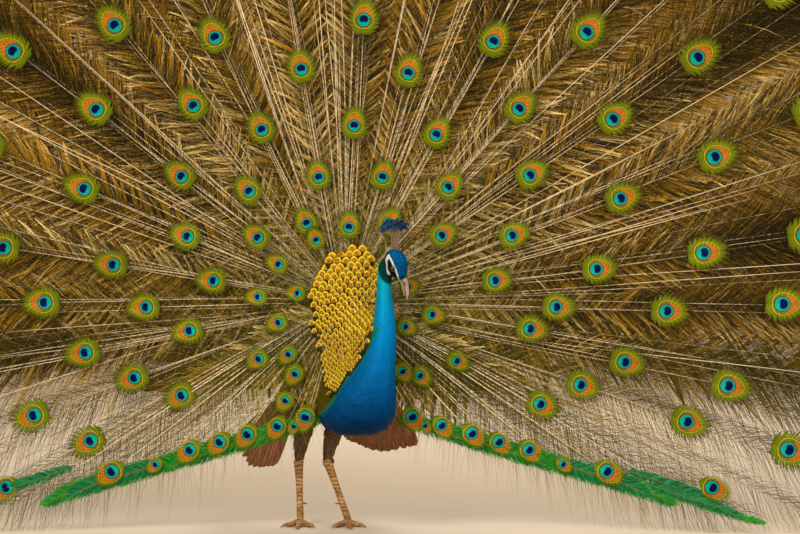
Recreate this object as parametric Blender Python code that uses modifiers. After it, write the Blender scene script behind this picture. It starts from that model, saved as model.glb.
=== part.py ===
"""A life-size Indian peacock in full display, standing, with its train fanned.

The bird faces -Y. Its own right side is at -X. Everything is in metres, +Z up, and the floor is z = 0.
The train stands as a shallow dish behind the neck, and the rear of the body, the wings and the short
tail are behind it. Left and right in the names are the bird's own.
"""

import math

import bmesh
import bpy
from mathutils import Vector

# Driving dimensions
CUT = 0.0004  # thin cut that parts two neighbours
FAN_HUB = Vector((0.005, -0.045, 0.510))  # where the train's quills seem to meet
TRAIN_LENGTH = 1.42  # hub to the tips of the longest feathers
TRAIN_CUP = 0.20  # how far the rim of the dish comes forward
TRAIN_SHEET = 0.0006  # thickness of one tier of train feathers
TIER_STEP = 0.008  # from one tier to the next, front to back
EDGE_HEIGHT = 0.25  # height of the train's lower edge beside the breast
EDGE_REACH = 0.90  # distance sideways at which that edge meets the floor
FLANKS = (-0.036, 0.108)  # inside the trunk's two sides where the train passes them
FLANK_TOP = 0.425
TAIL_HUB = Vector((-0.046, 0.140, 0.404))
TAIL_LENGTH = 0.44
SHANK_RADIUS = 0.0074
TOE_RADIUS = 0.0068
EYE_RADIUS = 0.0072
PEAR = 0.26  # how much fuller the trunk is below its middle than above it
KEEL = 0.8  # how much squarer its underside is than an oval
LEAN = 0.012  # how far the keel lies to the bird's right of the trunk's middle

# Name: (dorsal edge y, z), (ventral edge y, z), half width, centre x. Rear of the trunk first.
BODY_STATIONS = (
    ((0.168, 0.398), (0.160, 0.366), 0.022, -0.056),
    ((0.130, 0.434), (0.122, 0.318), 0.050, -0.044),
    ((0.080, 0.450), (0.080, 0.272), 0.069, -0.026),
    ((0.030, 0.446), (0.028, 0.240), 0.078, -0.003),
    ((-0.020, 0.432), (-0.030, 0.222), 0.080, 0.022),
    ((-0.062, 0.412), (-0.090, 0.214), 0.079, 0.038),
    ((-0.092, 0.398), (-0.146, 0.216), 0.076, 0.046),
    ((-0.106, 0.394), (-0.190, 0.236), 0.071, 0.052),
    ((-0.111, 0.399), (-0.212, 0.276), 0.060, 0.062),
    ((-0.110, 0.412), (-0.214, 0.326), 0.046, 0.076),
    ((-0.104, 0.432), (-0.202, 0.376), 0.0365, 0.0865),
    ((-0.095, 0.460), (-0.180, 0.426), 0.0305, 0.0925),
    ((-0.086, 0.498), (-0.156, 0.474), 0.0250, 0.0945),
    ((-0.080, 0.538), (-0.136, 0.520), 0.0195, 0.0940),
    ((-0.080, 0.576), (-0.124, 0.562), 0.0180, 0.0945),
    ((-0.086, 0.606), (-0.121, 0.594), 0.0175, 0.0985),
    ((-0.104, 0.621), (-0.119, 0.613), 0.0070, 0.1080),
)
SHOULDER_STATION, NECK_STATION = 7, 11  # where the neck leaves the trunk, and where it is halved

# Head axes: along the head to the bill, up through the crown, and out through the bird's right cheek.
HEAD_CENTRE = Vector((0.1215, -0.1310, 0.5950))
BILL_AXIS = Vector((0.55, -0.24, -0.80)).normalized()
CROWN_AXIS = (Vector((0.58, -0.58, 0.57)) - Vector((0.58, -0.58, 0.57)).project(BILL_AXIS)).normalized()
CHEEK_AXIS = BILL_AXIS.cross(CROWN_AXIS)
# (along the head from its centre, offset towards the crown, half height, half width)
HEAD_STATIONS = (
    (-0.0365, 0.0040, 0.0040, 0.0040),
    (-0.0320, 0.0045, 0.0150, 0.0130),
    (-0.0210, 0.0045, 0.0235, 0.0190),
    (-0.0060, 0.0035, 0.0275, 0.0218),
    (0.0080, 0.0015, 0.0260, 0.0212),
    (0.0200, -0.0020, 0.0200, 0.0175),
    (0.0290, -0.0050, 0.0125, 0.0120),
    (0.0335, -0.0062, 0.0098, 0.0090),
)
# The bill bends down from the head's line. Its rows are (beyond its root, offset, half height, half width).
BILL_ROOT = (0.0339, -0.0062)
BILL_BEND = math.radians(24)
UPPER_BILL = (
    (0.0000, 0.0036, 0.0050, 0.0072),
    (0.0120, 0.0034, 0.0047, 0.0062),
    (0.0250, 0.0022, 0.0041, 0.0048),
    (0.0370, -0.0008, 0.0032, 0.0033),
    (0.0450, -0.0048, 0.0021, 0.0018),
    (0.0485, -0.0082, 0.0008, 0.0007),
)
LOWER_BILL = (
    (0.0000, -0.0050, 0.0029, 0.0062),
    (0.0120, -0.0054, 0.0026, 0.0052),
    (0.0250, -0.0066, 0.0021, 0.0038),
    (0.0340, -0.0084, 0.0014, 0.0024),
    (0.0385, -0.0100, 0.0006, 0.0010),
)

COLOURS = {  # base colour, roughness, metallic
    "blue_plumage": ((0.008, 0.085, 0.340), 0.45, 0.2),
    "head_plumage": ((0.010, 0.100, 0.400), 0.45, 0.2),
    "gold_scales": ((0.520, 0.360, 0.030), 0.40, 0.3),
    "horn": ((0.360, 0.270, 0.210), 0.45, 0.0),
    "eye": ((0.030, 0.012, 0.006), 0.08, 0.0),
    "crest": ((0.012, 0.060, 0.220), 0.50, 0.1),
    "leg_plumage": ((0.115, 0.080, 0.055), 0.80, 0.0),
    "leg_scales": ((0.300, 0.190, 0.095), 0.55, 0.0),
    "barred_plumage": ((0.380, 0.300, 0.200), 0.75, 0.0),
    "chestnut_quills": ((0.330, 0.120, 0.045), 0.60, 0.0),
    "train_bronze": ((0.240, 0.160, 0.050), 0.55, 0.1),
    "train_green": ((0.090, 0.200, 0.030), 0.55, 0.1),
    "tail_brown": ((0.170, 0.120, 0.080), 0.75, 0.0),
}


def clear_scene():
    for old in list(bpy.data.objects):
        bpy.data.objects.remove(old)


def collection(name):
    made = bpy.data.collections.new(name)
    bpy.context.scene.collection.children.link(made)
    return made


def material(name):
    found = bpy.data.materials.get(name)
    if found:
        return found
    colour, roughness, metallic = COLOURS[name]
    made = bpy.data.materials.new(name)
    made.use_nodes = True
    shader = made.node_tree.nodes["Principled BSDF"]
    shader.inputs["Base Color"].default_value = (*colour, 1.0)
    shader.inputs["Roughness"].default_value = roughness
    shader.inputs["Metallic"].default_value = metallic
    return made


def place(name, bm, finish, smooth=True):
    """Makes the bmesh an object of the bird with this finish."""
    bmesh.ops.recalc_face_normals(bm, faces=bm.faces)
    if bm.calc_volume(signed=True) < 0:
        bmesh.ops.reverse_faces(bm, faces=bm.faces)
    mesh = bpy.data.meshes.new(name)
    bm.to_mesh(mesh)
    bm.free()
    if smooth:
        mesh.shade_smooth()
    mesh.materials.append(material(finish))
    made = bpy.data.objects.new(name, mesh)
    BIRD.objects.link(made)
    return made


def spline_through(rows, t):
    """A smooth value at t, from 0 to 1, through rows of numbers spaced evenly (Catmull-Rom)."""
    last = len(rows) - 1
    place_in = min(max(t, 0.0), 1.0) * last
    i = min(int(place_in), last - 1)
    f = place_in - i
    near = [rows[min(max(i + k, 0), last)] for k in (-1, 0, 1, 2)]
    return [
        0.5 * (2 * b + (c - a) * f + (2 * a - 5 * b + 4 * c - d) * f * f + (3 * b - a - 3 * c + d) * f**3)
        for a, b, c, d in zip(*near)
    ]


def ringed_tube(rings, segments, ring_at):
    """A closed tube from a capped cone. ring_at(t, angle) gives the place of a point of the ring at t."""
    bm = bmesh.new()
    bmesh.ops.create_cone(bm, cap_ends=True, segments=segments, radius1=1.0, radius2=1.0, depth=1.0)
    sides = [e for e in bm.edges if abs(e.verts[0].co.z - e.verts[1].co.z) > 0.5]
    bmesh.ops.subdivide_edges(bm, edges=sides, cuts=rings - 2, use_grid_fill=False)
    for v in bm.verts:
        v.co = ring_at(v.co.z + 0.5, math.atan2(v.co.y, v.co.x))
    return bm


def body_ring(first, last, skip_cut):
    """ring_at for the body between two stations. skip_cut leaves the thin cut before the first ring."""
    rows = [(*d, *v, w, x) for d, v, w, x in BODY_STATIONS]
    span = len(rows) - 1

    def ring_at(t, angle):
        at = (first + (last - first) * t) / span
        dy, dz, vy, vz, width, x = spline_through(rows, at)
        up = Vector((0.0, dy - vy, dz - vz)) / 2
        full = min(max((NECK_STATION - 1 - at * span) / 4, 0.0), 1.0)  # the neck is a plain oval
        across, raised = math.cos(angle), math.sin(angle)
        if raised < 0:  # the breast is squarer below
            power = 2 + full * KEEL
            square = (abs(across) ** power + abs(raised) ** power) ** (-1 / power)
            across, raised = across * square, raised * square
        point = Vector((x, (dy + vy) / 2, (dz + vz) / 2)) + up * raised
        point.x += width * across * (1 - full * PEAR * raised) + full * LEAN * raised
        if skip_cut and t < 1e-6:
            point += Vector((1.0, 0.0, 0.0)).cross(up).normalized() * CUT
        return point

    return ring_at


def make_body():
    last = len(BODY_STATIONS) - 1
    trunk = place("trunk", ringed_tube(12, 18, body_ring(0, SHOULDER_STATION, False)), "blue_plumage")
    lower = ringed_tube(7, 18, body_ring(SHOULDER_STATION, NECK_STATION, True))
    upper = ringed_tube(9, 16, body_ring(NECK_STATION, last, True))
    return trunk, place("neck_lower", lower, "blue_plumage"), place("neck_upper", upper, "blue_plumage")


def head_point(along, up, side):
    return HEAD_CENTRE + BILL_AXIS * along + CROWN_AXIS * up + CHEEK_AXIS * side


def head_tube(stations, rings, segments, root=(0.0, 0.0), bend=0.0):
    """A tube through the stations, which are set off from root and bent down by bend."""

    def ring_at(t, angle):
        along, up, height, width = spline_through(stations, t)
        up += height * math.sin(angle)
        forward = root[0] + along * math.cos(bend) + up * math.sin(bend)
        raised = root[1] - along * math.sin(bend) + up * math.cos(bend)
        return head_point(forward, raised, width * math.cos(angle))

    return ringed_tube(rings, segments, ring_at)


def make_head():
    head = place("head", head_tube(HEAD_STATIONS, 11, 16), "head_plumage")
    upper = place("bill_upper", head_tube(UPPER_BILL, 7, 10, BILL_ROOT, BILL_BEND), "horn")
    lower = place("bill_lower", head_tube(LOWER_BILL, 6, 10, BILL_ROOT, BILL_BEND), "horn")
    eyes = []
    for side, sign in (("right", 1), ("left", -1)):
        bm = bmesh.new()
        bmesh.ops.create_uvsphere(bm, u_segments=10, v_segments=6, radius=EYE_RADIUS)
        bmesh.ops.translate(bm, verts=bm.verts, vec=head_point(0.0050, -0.0009, sign * 0.0158))
        eyes.append(place("eye_" + side, bm, "eye"))
    return head, upper, lower, eyes


# The crest in the head's middle plane: its root, the way its stems go and the way it spreads, each as
# (along the head, up), and its outline as (spread, height). The wide edge has a lobe for each tip.
CREST_ROOT = (-0.0285, 0.0204)
CREST_STEM_WAY, CREST_SPREAD_WAY = (-0.741, 0.708), (0.741, 1.030)
CREST_STEMS = ((0.0125, 0.0500), (0.0095, 0.0240), (0.0082, -0.0050))
CREST_ARC = ((-0.0200, 0.0390), (-0.0268, 0.0505), (-0.0180, 0.0640), (0.0030, 0.0700), (0.0210, 0.0640),
             (0.0345, 0.0530), (0.0235, 0.0470))
CREST_LOBES, LOBE_DEPTH = 9, 0.0022


def make_crest():
    outline = []
    for n in range(2 * CREST_LOBES + 1):
        x, z = spline_through(CREST_ARC, n / (2 * CREST_LOBES))
        inward = Vector((0.003 - x, 0.030 - z)).normalized() * (0.0 if n % 2 else LOBE_DEPTH)
        outline.append((x + inward.x, z + inward.y))
    outline += CREST_STEMS + tuple((0.0015 - x, z) for x, z in reversed(CREST_STEMS))
    bm = bmesh.new()
    corners = []
    for x, z in outline:
        along = CREST_ROOT[0] + x * CREST_SPREAD_WAY[0] + z * CREST_STEM_WAY[0]
        up = CREST_ROOT[1] + x * CREST_SPREAD_WAY[1] + z * CREST_STEM_WAY[1]
        corners.append(bm.verts.new(head_point(along, up, -0.0012)))
    face = bm.faces.new(corners)
    grown = bmesh.ops.extrude_face_region(bm, geom=[face])
    moved = [v for v in grown["geom"] if isinstance(v, bmesh.types.BMVert)]
    bmesh.ops.translate(bm, verts=moved, vec=CHEEK_AXIS * 0.0024)
    return place("crest", bm, "crest", smooth=False)


# The raised rump and lower back, a hood that carries the gold scales: height above the floor,
# centre x, front y, thickness, half width.
HOOD = (
    (0.3800, 0.040, -0.090, 0.060, 0.060),
    (0.4100, 0.032, -0.092, 0.110, 0.070),
    (0.4350, 0.025, -0.090, 0.125, 0.077),
    (0.4650, 0.021, -0.084, 0.110, 0.086),
    (0.5050, 0.019, -0.076, 0.080, 0.091),
    (0.5400, 0.019, -0.070, 0.052, 0.083),
    (0.5750, 0.020, -0.065, 0.032, 0.066),
    (0.6040, 0.022, -0.062, 0.016, 0.038),
    (0.6160, 0.023, -0.061, 0.006, 0.012),
)


def make_hood():
    def ring_at(t, angle):
        z, x, front, thick, width = spline_through(HOOD, t)
        return Vector((x + width * math.cos(angle), front + thick / 2 * (1 + math.sin(angle)), z))

    return place("rump", ringed_tube(11, 18, ring_at), "gold_scales")


def limb(name, points, radii, finish, rings, segments, squash=1.0):
    """A tapering limb along a smooth line through the points, with flat ends. squash widens it across."""
    rows = [(*p, r) for p, r in zip(points, radii)]
    ways = []
    for n in range(rings):
        t = n / (rings - 1)
        ahead = Vector(spline_through(rows, min(t + 0.02, 1.0))[:3])
        behind = Vector(spline_through(rows, max(t - 0.02, 0.0))[:3])
        ways.append((ahead - behind).normalized())
    across = ways[0].orthogonal().normalized()
    sides = []
    for way in ways:
        across = (across - across.project(way)).normalized()
        sides.append((across, way.cross(across)))

    def ring_at(t, angle):
        *centre, radius = spline_through(rows, t)
        side, other = sides[round(t * (rings - 1))]
        return Vector(centre) + side * radius * math.cos(angle) + other * radius * squash * math.sin(angle)

    bm = ringed_tube(rings, segments, ring_at)
    return place(name, bm, finish) if name else bm


# Each leg: the drumstick's top, its middle, the hock, and the ankle above the toes.
LEGS = {
    "right": ((-0.076, 0.030, 0.285), (-0.093, 0.026, 0.212), (-0.103, 0.028, 0.146), (-0.098, 0.004, 0.020)),
    "left": ((-0.006, 0.030, 0.275), (-0.024, 0.022, 0.212), (-0.038, 0.026, 0.148), (0.0085, 0.002, 0.020)),
}
TOES = (("inner", 38, 0.052), ("middle", 0, 0.070), ("outer", -36, 0.056), ("hind", 172, 0.028))
SPUR_HEIGHT, SPUR_LENGTH = 0.052, 0.016


def joined(name, solids, finish):
    """One solid from bmeshes that overlap."""
    first = place(name, solids[0], finish)
    for other in solids[1:]:
        cutter = place(name + "_part", other, finish)
        boolean = first.modifiers.new("join", "BOOLEAN")
        boolean.operation = "UNION"
        boolean.object = cutter
        applied(first)
        bpy.data.objects.remove(cutter)
    return first


def applied(obj):
    """Applies the object's modifiers."""
    graph = bpy.context.evaluated_depsgraph_get()
    mesh = bpy.data.meshes.new_from_object(obj.evaluated_get(graph))
    obj.modifiers.clear()
    obj.data = mesh
    return obj


def flat_sole(bm):
    """Cuts what is below the floor, which leaves small flats at z = 0."""
    geometry = [*bm.verts, *bm.edges, *bm.faces]
    cut = bmesh.ops.bisect_plane(
        bm, geom=geometry, plane_co=(0, 0, 0), plane_no=(0, 0, -1), clear_outer=True, dist=1e-6
    )
    rim = [e for e in cut["geom_cut"] if isinstance(e, bmesh.types.BMEdge)]
    bmesh.ops.holes_fill(bm, edges=rim)


def make_toes(ankle, heading, turn_sign):
    """Four toes with their claws, from a knuckle under the ankle."""
    knuckle = Vector((ankle.x, ankle.y, 0.0125))
    solids = []
    for name, splay, length in TOES:
        angle = math.radians(heading + turn_sign * splay)
        way = Vector((math.sin(angle), -math.cos(angle), 0.0))
        low = TOE_RADIUS - 0.0008
        points = (
            knuckle - way * 0.002,
            knuckle + way * length * 0.30 + Vector((0, 0, low + 0.0022 - knuckle.z)),
            knuckle + way * length * 0.72 + Vector((0, 0, low - 0.0004 - knuckle.z)),
            knuckle + way * length * 0.98 + Vector((0, 0, 0.0068 - knuckle.z)),
            knuckle + way * (length + 0.013) + Vector((0, 0, 0.0016 - knuckle.z)),
        )
        thick = 0.82 if name == "hind" else 1.0
        radii = [thick * r for r in (0.0062, TOE_RADIUS, 0.0060, 0.0036, 0.0009)]
        toe = limb(None, points, radii, None, 7, 7)
        flat_sole(toe)
        solids.append(toe)
    return solids


def make_leg(side, turn_sign, heading):
    top, middle, hock, ankle = (Vector(p) for p in LEGS[side])
    thigh = limb("thigh_" + side, (top, middle, hock), (0.037, 0.025, 0.0125), "leg_plumage", 8, 12)
    down = (ankle - hock).normalized()
    foot = limb(None, (ankle, ankle + down * 0.013), (0.0085, 0.0075), None, 3, 10)
    foot = joined("foot_" + side, [foot, *make_toes(ankle, heading, turn_sign)], "leg_scales")
    rows = (hock + down * CUT, hock + down * 0.012, hock.lerp(ankle, 0.5), ankle - down * CUT)
    shank = limb(None, rows, (0.0120, 0.0102, SHANK_RADIUS, 0.0080), None, 9, 10, 1.12)
    spur_root = hock.lerp(ankle, 1 - (SPUR_HEIGHT - ankle.z) / (hock.z - ankle.z))
    way = Vector((-turn_sign * 0.75, 0.62, -0.22)).normalized()
    spur = limb(None, (spur_root, spur_root + way * (SHANK_RADIUS + SPUR_LENGTH)), (0.0042, 0.0008), None, 4, 8)
    shank = joined("shank_" + side, [shank, spur], "leg_scales")
    return thigh, shank, foot


def train_reach(angle):
    """How far a train feather may reach at this angle: to the rim, the floor or the lower edge."""
    down, out = -math.sin(angle), abs(math.cos(angle))
    reach = TRAIN_LENGTH
    if down > 0:
        reach = min(reach, FAN_HUB.z / down)
    slope = EDGE_HEIGHT / EDGE_REACH
    if down > slope * out:
        reach = min(reach, (FAN_HUB.z - EDGE_HEIGHT) / (down - slope * out))
    return reach


def train_start(angle):
    """How far from the hub the train starts, just inside the hood and the flanks."""
    way = Vector((math.cos(angle), 0.0, math.sin(angle)))
    start = 0.0
    for n in range(200):
        point = FAN_HUB + way * 0.002 * n
        t = (point.z - HOOD[0][0]) / (HOOD[-1][0] - HOOD[0][0])
        if 0 <= t <= 1:
            rows = [(row[0], row[1], row[4]) for row in HOOD]
            middle, width = next(
                (a[1] + (b[1] - a[1]) * f, a[2] + (b[2] - a[2]) * f)
                for a, b in zip(rows, rows[1:])
                for f in [(point.z - a[0]) / (b[0] - a[0])]
                if 0 <= f <= 1
            )
            if abs(point.x - middle) < width - 0.006:
                start = 0.002 * n
        if point.z < FLANK_TOP and FLANKS[0] < point.x < FLANKS[1]:
            start = 0.002 * n
    return start


def train_point(angle, radius, step):
    """A point on the train's dish, step behind its front."""
    forward = TRAIN_CUP * (radius / TRAIN_LENGTH) ** 2
    return FAN_HUB + Vector((radius * math.cos(angle), step - forward, radius * math.sin(angle)))


def train_sector(name, begin, end, length, order, columns, rows, finish):
    """One sector of a tier of train feathers, from angle begin to end in degrees."""
    bm = bmesh.new()
    bmesh.ops.create_grid(bm, x_segments=columns, y_segments=rows, size=0.5)
    reaches = []
    for n in range(columns + 1):
        angle = math.radians(begin + (end - begin) * n / columns)
        inner = train_start(angle)
        outer = min(length, train_reach(angle))
        if n % 2 and outer > length - 0.02:
            outer -= 0.035
        reaches.append((inner, max(outer, inner + 0.02)))
    for v in bm.verts:
        across, along = v.co.x + 0.5, v.co.y + 0.5
        inner, outer = reaches[round(across * columns)]
        angle = math.radians(begin + (end - begin) * across)
        v.co = train_point(angle, inner + (outer - inner) * along, order * TIER_STEP)
        side = round(2 * across - 1) * (1 if end > begin else -1)
        if across < 1e-6 or across > 1 - 1e-6:
            v.co -= Vector((-math.sin(angle), 0, math.cos(angle))) * side * CUT
    made = place(name, bm, finish)
    shell = made.modifiers.new("vane", "SOLIDIFY")
    shell.thickness = TRAIN_SHEET
    shell.offset = 0.0
    applied(made)
    return made


def make_train(rump, trunk):
    """Three tiers of feathers, the short ones in front. Both sides are made by the same loop."""
    tiers = (
        ("short", 0.36, (90, 50, 12, -28), (-66, -79), 5, 3, "train_green"),
        ("middle", 0.82, (90, 58, 28, 0), (-28, -52), 6, 2, "train_bronze"),
        ("long", TRAIN_LENGTH, (90, 66, 42, 18, -6), (-31, -31), 8, 4, "train_bronze"),
    )
    for order, (tier, length, stops, (low_left, low_right), columns, rows, finish) in enumerate(tiers):
        if tier == "middle":
            stops, low_left, low_right = (*stops, -27), -54, -54
        for n, (high, low) in enumerate(zip((*stops,), (*stops[1:], low_left)), 1):
            vane = train_sector(f"train_{tier}_left_{n}", low, high, length, order, columns, rows, finish)
            cut_from(vane, rump, *([trunk] if n > 2 else []), gap=0.001)
        for n, (high, low) in enumerate(zip((*stops,), (*stops[1:], low_right)), 1):
            vane = train_sector(
                f"train_{tier}_right_{n}", 180 - high, 180 - low, length, order, columns, rows, finish
            )
            cut_from(vane, rump, *([trunk] if n > 2 else []), gap=0.001)


def feather_fan(name, hub, first, last, count, inner, reach, y_at, thickness, finish):
    """A flat fan of like feathers, in degrees from +X, with a rounded tip for each."""
    bm = bmesh.new()
    columns = 2 * count
    bmesh.ops.create_grid(bm, x_segments=columns, y_segments=2, size=0.5)
    for v in bm.verts:
        across, along = v.co.x + 0.5, v.co.y + 0.5
        angle = math.radians(first + (last - first) * across)
        tip = reach(across) * (1.0 if round(across * columns) % 2 else 0.955)
        radius = inner + (tip - inner) * along
        v.co = hub + Vector((radius * math.cos(angle), y_at(radius, across), radius * math.sin(angle)))
    made = place(name, bm, finish)
    shell = made.modifiers.new("vane", "SOLIDIFY")
    shell.thickness = thickness
    shell.offset = 0.0
    return made


def make_tail(trunk):
    """The short true tail, raised behind the train."""

    def y_at(radius, _across):
        return 0.004 - 0.085 * radius / TAIL_LENGTH

    half = math.degrees(CUT / 0.05)
    for side, first, last in (("left", -12, 90 - half), ("right", 90 + half, 192)):
        fan = feather_fan(
            "tail_" + side, TAIL_HUB, first, last, 8, 0.024, lambda _: TAIL_LENGTH, y_at, 0.0012, "tail_brown"
        )
        applied(fan)
        cut_from(fan, trunk)


# Each wing droops, half open, behind the train. The covered part is a flat tube along its own line:
# (centre, half height, half thickness). The flight feathers are a sheet from under it, given by the
# ends of the line of their roots and by three points along their tips.
WINGS = {
    "right": (
        (
            ((-0.074, 0.006, 0.345), 0.022, 0.007),
            ((-0.106, 0.040, 0.318), 0.052, 0.012),
            ((-0.126, 0.095, 0.300), 0.060, 0.012),
            ((-0.140, 0.160, 0.297), 0.048, 0.008),
            ((-0.146, 0.225, 0.298), 0.016, 0.003),
        ),
        ((-0.120, 0.044, 0.276), (-0.138, 0.140, 0.262)),
        ((-0.172, 0.085, 0.128), (-0.226, 0.150, 0.124), (-0.262, 0.235, 0.172)),
    ),
    "left": (
        (
            ((0.100, 0.006, 0.345), 0.022, 0.007),
            ((0.096, 0.040, 0.318), 0.052, 0.012),
            ((0.074, 0.095, 0.300), 0.060, 0.012),
            ((0.048, 0.160, 0.297), 0.048, 0.008),
            ((0.026, 0.225, 0.298), 0.016, 0.003),
        ),
        ((0.098, 0.044, 0.276), (0.060, 0.140, 0.262)),
        ((0.168, 0.075, 0.176), (0.080, 0.190, 0.152), (0.000, 0.262, 0.176)),
    ),
}
PRIMARIES = 7


def make_wings(trunk, thighs):
    for side, (line, roots, tips) in WINGS.items():
        rows = [(*centre, height, thick) for centre, height, thick in line]

        def ring_at(t, angle):
            *centre, height, thick = spline_through(rows, t)
            out = Vector((-1 if side == "right" else 1, -0.25, 0.0)).normalized()
            up = Vector((-out.x * 0.10, 0.0, 1.0)).normalized()
            return Vector(centre) + up * height * math.sin(angle) + out * thick * math.cos(angle)

        wing = place("wing_" + side, ringed_tube(8, 12, ring_at), "barred_plumage")
        cut_from(wing, trunk, thighs[side])
        bm = bmesh.new()
        bmesh.ops.create_grid(bm, x_segments=2 * PRIMARIES, y_segments=2, size=0.5)
        for v in bm.verts:
            u, w = v.co.x + 0.5, v.co.y + 0.5
            root = Vector(roots[0]).lerp(Vector(roots[1]), u)
            tip = Vector(spline_through(tips, u))
            w *= 1.0 if round(u * 2 * PRIMARIES) % 2 else 0.93
            v.co = root.lerp(tip, w)
        quills = place("primaries_" + side, bm, "chestnut_quills")
        shell = quills.modifiers.new("vane", "SOLIDIFY")
        shell.thickness = 0.0012
        shell.offset = 0.0
        applied(quills)
        cut_from(quills, wing, thighs[side])


def cut_from(piece, *others, gap=CUT):
    """Takes the others, grown by the gap, out of the piece."""
    for other in others:
        cutter = other.copy()
        cutter.data = other.data.copy()
        HELPERS.objects.link(cutter)
        grow = cutter.modifiers.new("grow", "DISPLACE")
        grow.strength = gap
        grow.mid_level = 0.0
        applied(cutter)
        boolean = piece.modifiers.new("cut", "BOOLEAN")
        boolean.operation = "DIFFERENCE"
        boolean.object = cutter
        applied(piece)
        bpy.data.objects.remove(cutter)


def rest_on_origin():
    """Sets the whole bird over the origin: its box's centre in x and y, and the floor at z = 0."""
    bpy.context.view_layer.update()
    graph = bpy.context.evaluated_depsgraph_get()
    corners = []
    for obj in BIRD.objects:
        shape = obj.evaluated_get(graph)
        corners += [shape.matrix_world @ v.co for v in shape.data.vertices]
    low = [min(c[k] for c in corners) for k in range(3)]
    high = [max(c[k] for c in corners) for k in range(3)]
    shift = Vector((-(low[0] + high[0]) / 2, -(low[1] + high[1]) / 2, -low[2]))
    for obj in BIRD.objects:
        obj.location += shift
    print("shift", [round(c, 6) for c in shift])


clear_scene()
BIRD = collection("peacock")
HELPERS = collection("cutters")
trunk, neck_lower, neck_upper = make_body()
head, bill_upper, bill_lower, eyes = make_head()
crest = make_crest()
rump = make_hood()
cut_from(head, *eyes)
cut_from(neck_upper, head)
cut_from(crest, head)
cut_from(bill_upper, head)
cut_from(bill_lower, head, bill_upper)
cut_from(rump, trunk, neck_lower)
thighs = {}
for side, turn_sign, heading in (("right", -1, -4), ("left", 1, 6)):
    thighs[side], shank, foot = make_leg(side, turn_sign, heading)
    cut_from(thighs[side], trunk, shank)
make_train(rump, trunk)
make_tail(trunk)
make_wings(trunk, thighs)
rest_on_origin()
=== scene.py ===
"""The displaying peacock: its skin, plumage, head, legs and fanned train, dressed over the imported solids.

The bird faces -Y and its own right side is at -X. Everything is in metres, and the floor is z = 0.
"""

import math

import bmesh
import bpy
import numpy as np
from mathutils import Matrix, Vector
from mathutils.bvhtree import BVHTree


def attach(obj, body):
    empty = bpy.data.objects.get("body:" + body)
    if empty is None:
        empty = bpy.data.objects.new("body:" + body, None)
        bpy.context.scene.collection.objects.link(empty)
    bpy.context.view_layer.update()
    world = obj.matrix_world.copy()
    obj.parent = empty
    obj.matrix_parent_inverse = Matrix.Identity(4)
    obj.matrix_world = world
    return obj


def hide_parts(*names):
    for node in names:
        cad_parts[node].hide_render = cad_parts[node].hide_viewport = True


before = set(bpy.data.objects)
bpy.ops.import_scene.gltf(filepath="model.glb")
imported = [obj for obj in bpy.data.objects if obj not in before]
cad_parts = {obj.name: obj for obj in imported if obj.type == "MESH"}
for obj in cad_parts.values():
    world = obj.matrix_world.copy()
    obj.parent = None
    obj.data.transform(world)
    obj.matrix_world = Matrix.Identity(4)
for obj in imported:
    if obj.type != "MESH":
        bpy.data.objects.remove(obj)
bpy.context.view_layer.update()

OWN_ORIGIN = np.array((-0.005, -0.013466, 0.000025))  # where the bird's own origin stands in the row frame
FAN_HUB = np.array((0.0, -0.058466, 0.510025))
TRAIN_LENGTH = 1.42
TRAIN_CUP = 0.20
TIP_RADIUS = 1.405  # the longest feathers' tips
EDGE_HEIGHT, EDGE_REACH = 0.25, 0.90  # the train's lower edge: height beside the breast, reach at the floor
HEAD_CENTRE = Vector((0.1165, -0.144466, 0.595025))
BILL_AXIS = Vector((0.55, -0.24, -0.80)).normalized()
CROWN_AXIS = (Vector((0.58, -0.58, 0.57)) - Vector((0.58, -0.58, 0.57)).project(BILL_AXIS)).normalized()
CHEEK_AXIS = BILL_AXIS.cross(CROWN_AXIS)
EYE_RADIUS = 0.0072
EYE_PLACE = (0.0050, -0.0009, 0.0158)  # along the head, up it and out to the side
# Lines on the face in millimetres: along the head, and up
UPPER_STRIPE = ((-20.5, 8.6), (-12.0, 9.8), (-3.5, 8.8), (12.5, 4.4), (22.5, -2.8), (33.0, -14.0))
LOWER_STRIPE = ((-22.5, 7.5), (-19.0, -4.0), (-10.5, -10.5), (-7.0, -19.0), (3.0, -25.0), (12.0, -27.0))
EYE_LINE = ((-19.0, 2.0), (-8.0, -4.0), (5.0, -8.0), (20.0, -12.0), (31.0, -16.0))
UP, FRONT = np.array((0.0, 0.0, 1.0)), np.array((0.0, -1.0, 0.0))
TUFT_PATCH = 0.003  # a tuft's size on its bake map
SHIELD_GRID = 0.004  # spacing of the places at which the gold shield's surface is found
BARB_POINTS = 4  # along each barb of the train
EYESPOT_BARBS = 26  # on each side of an eyespot
chance = np.random.default_rng(20)


# ---------------------------------------------------------------- finishes


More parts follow.
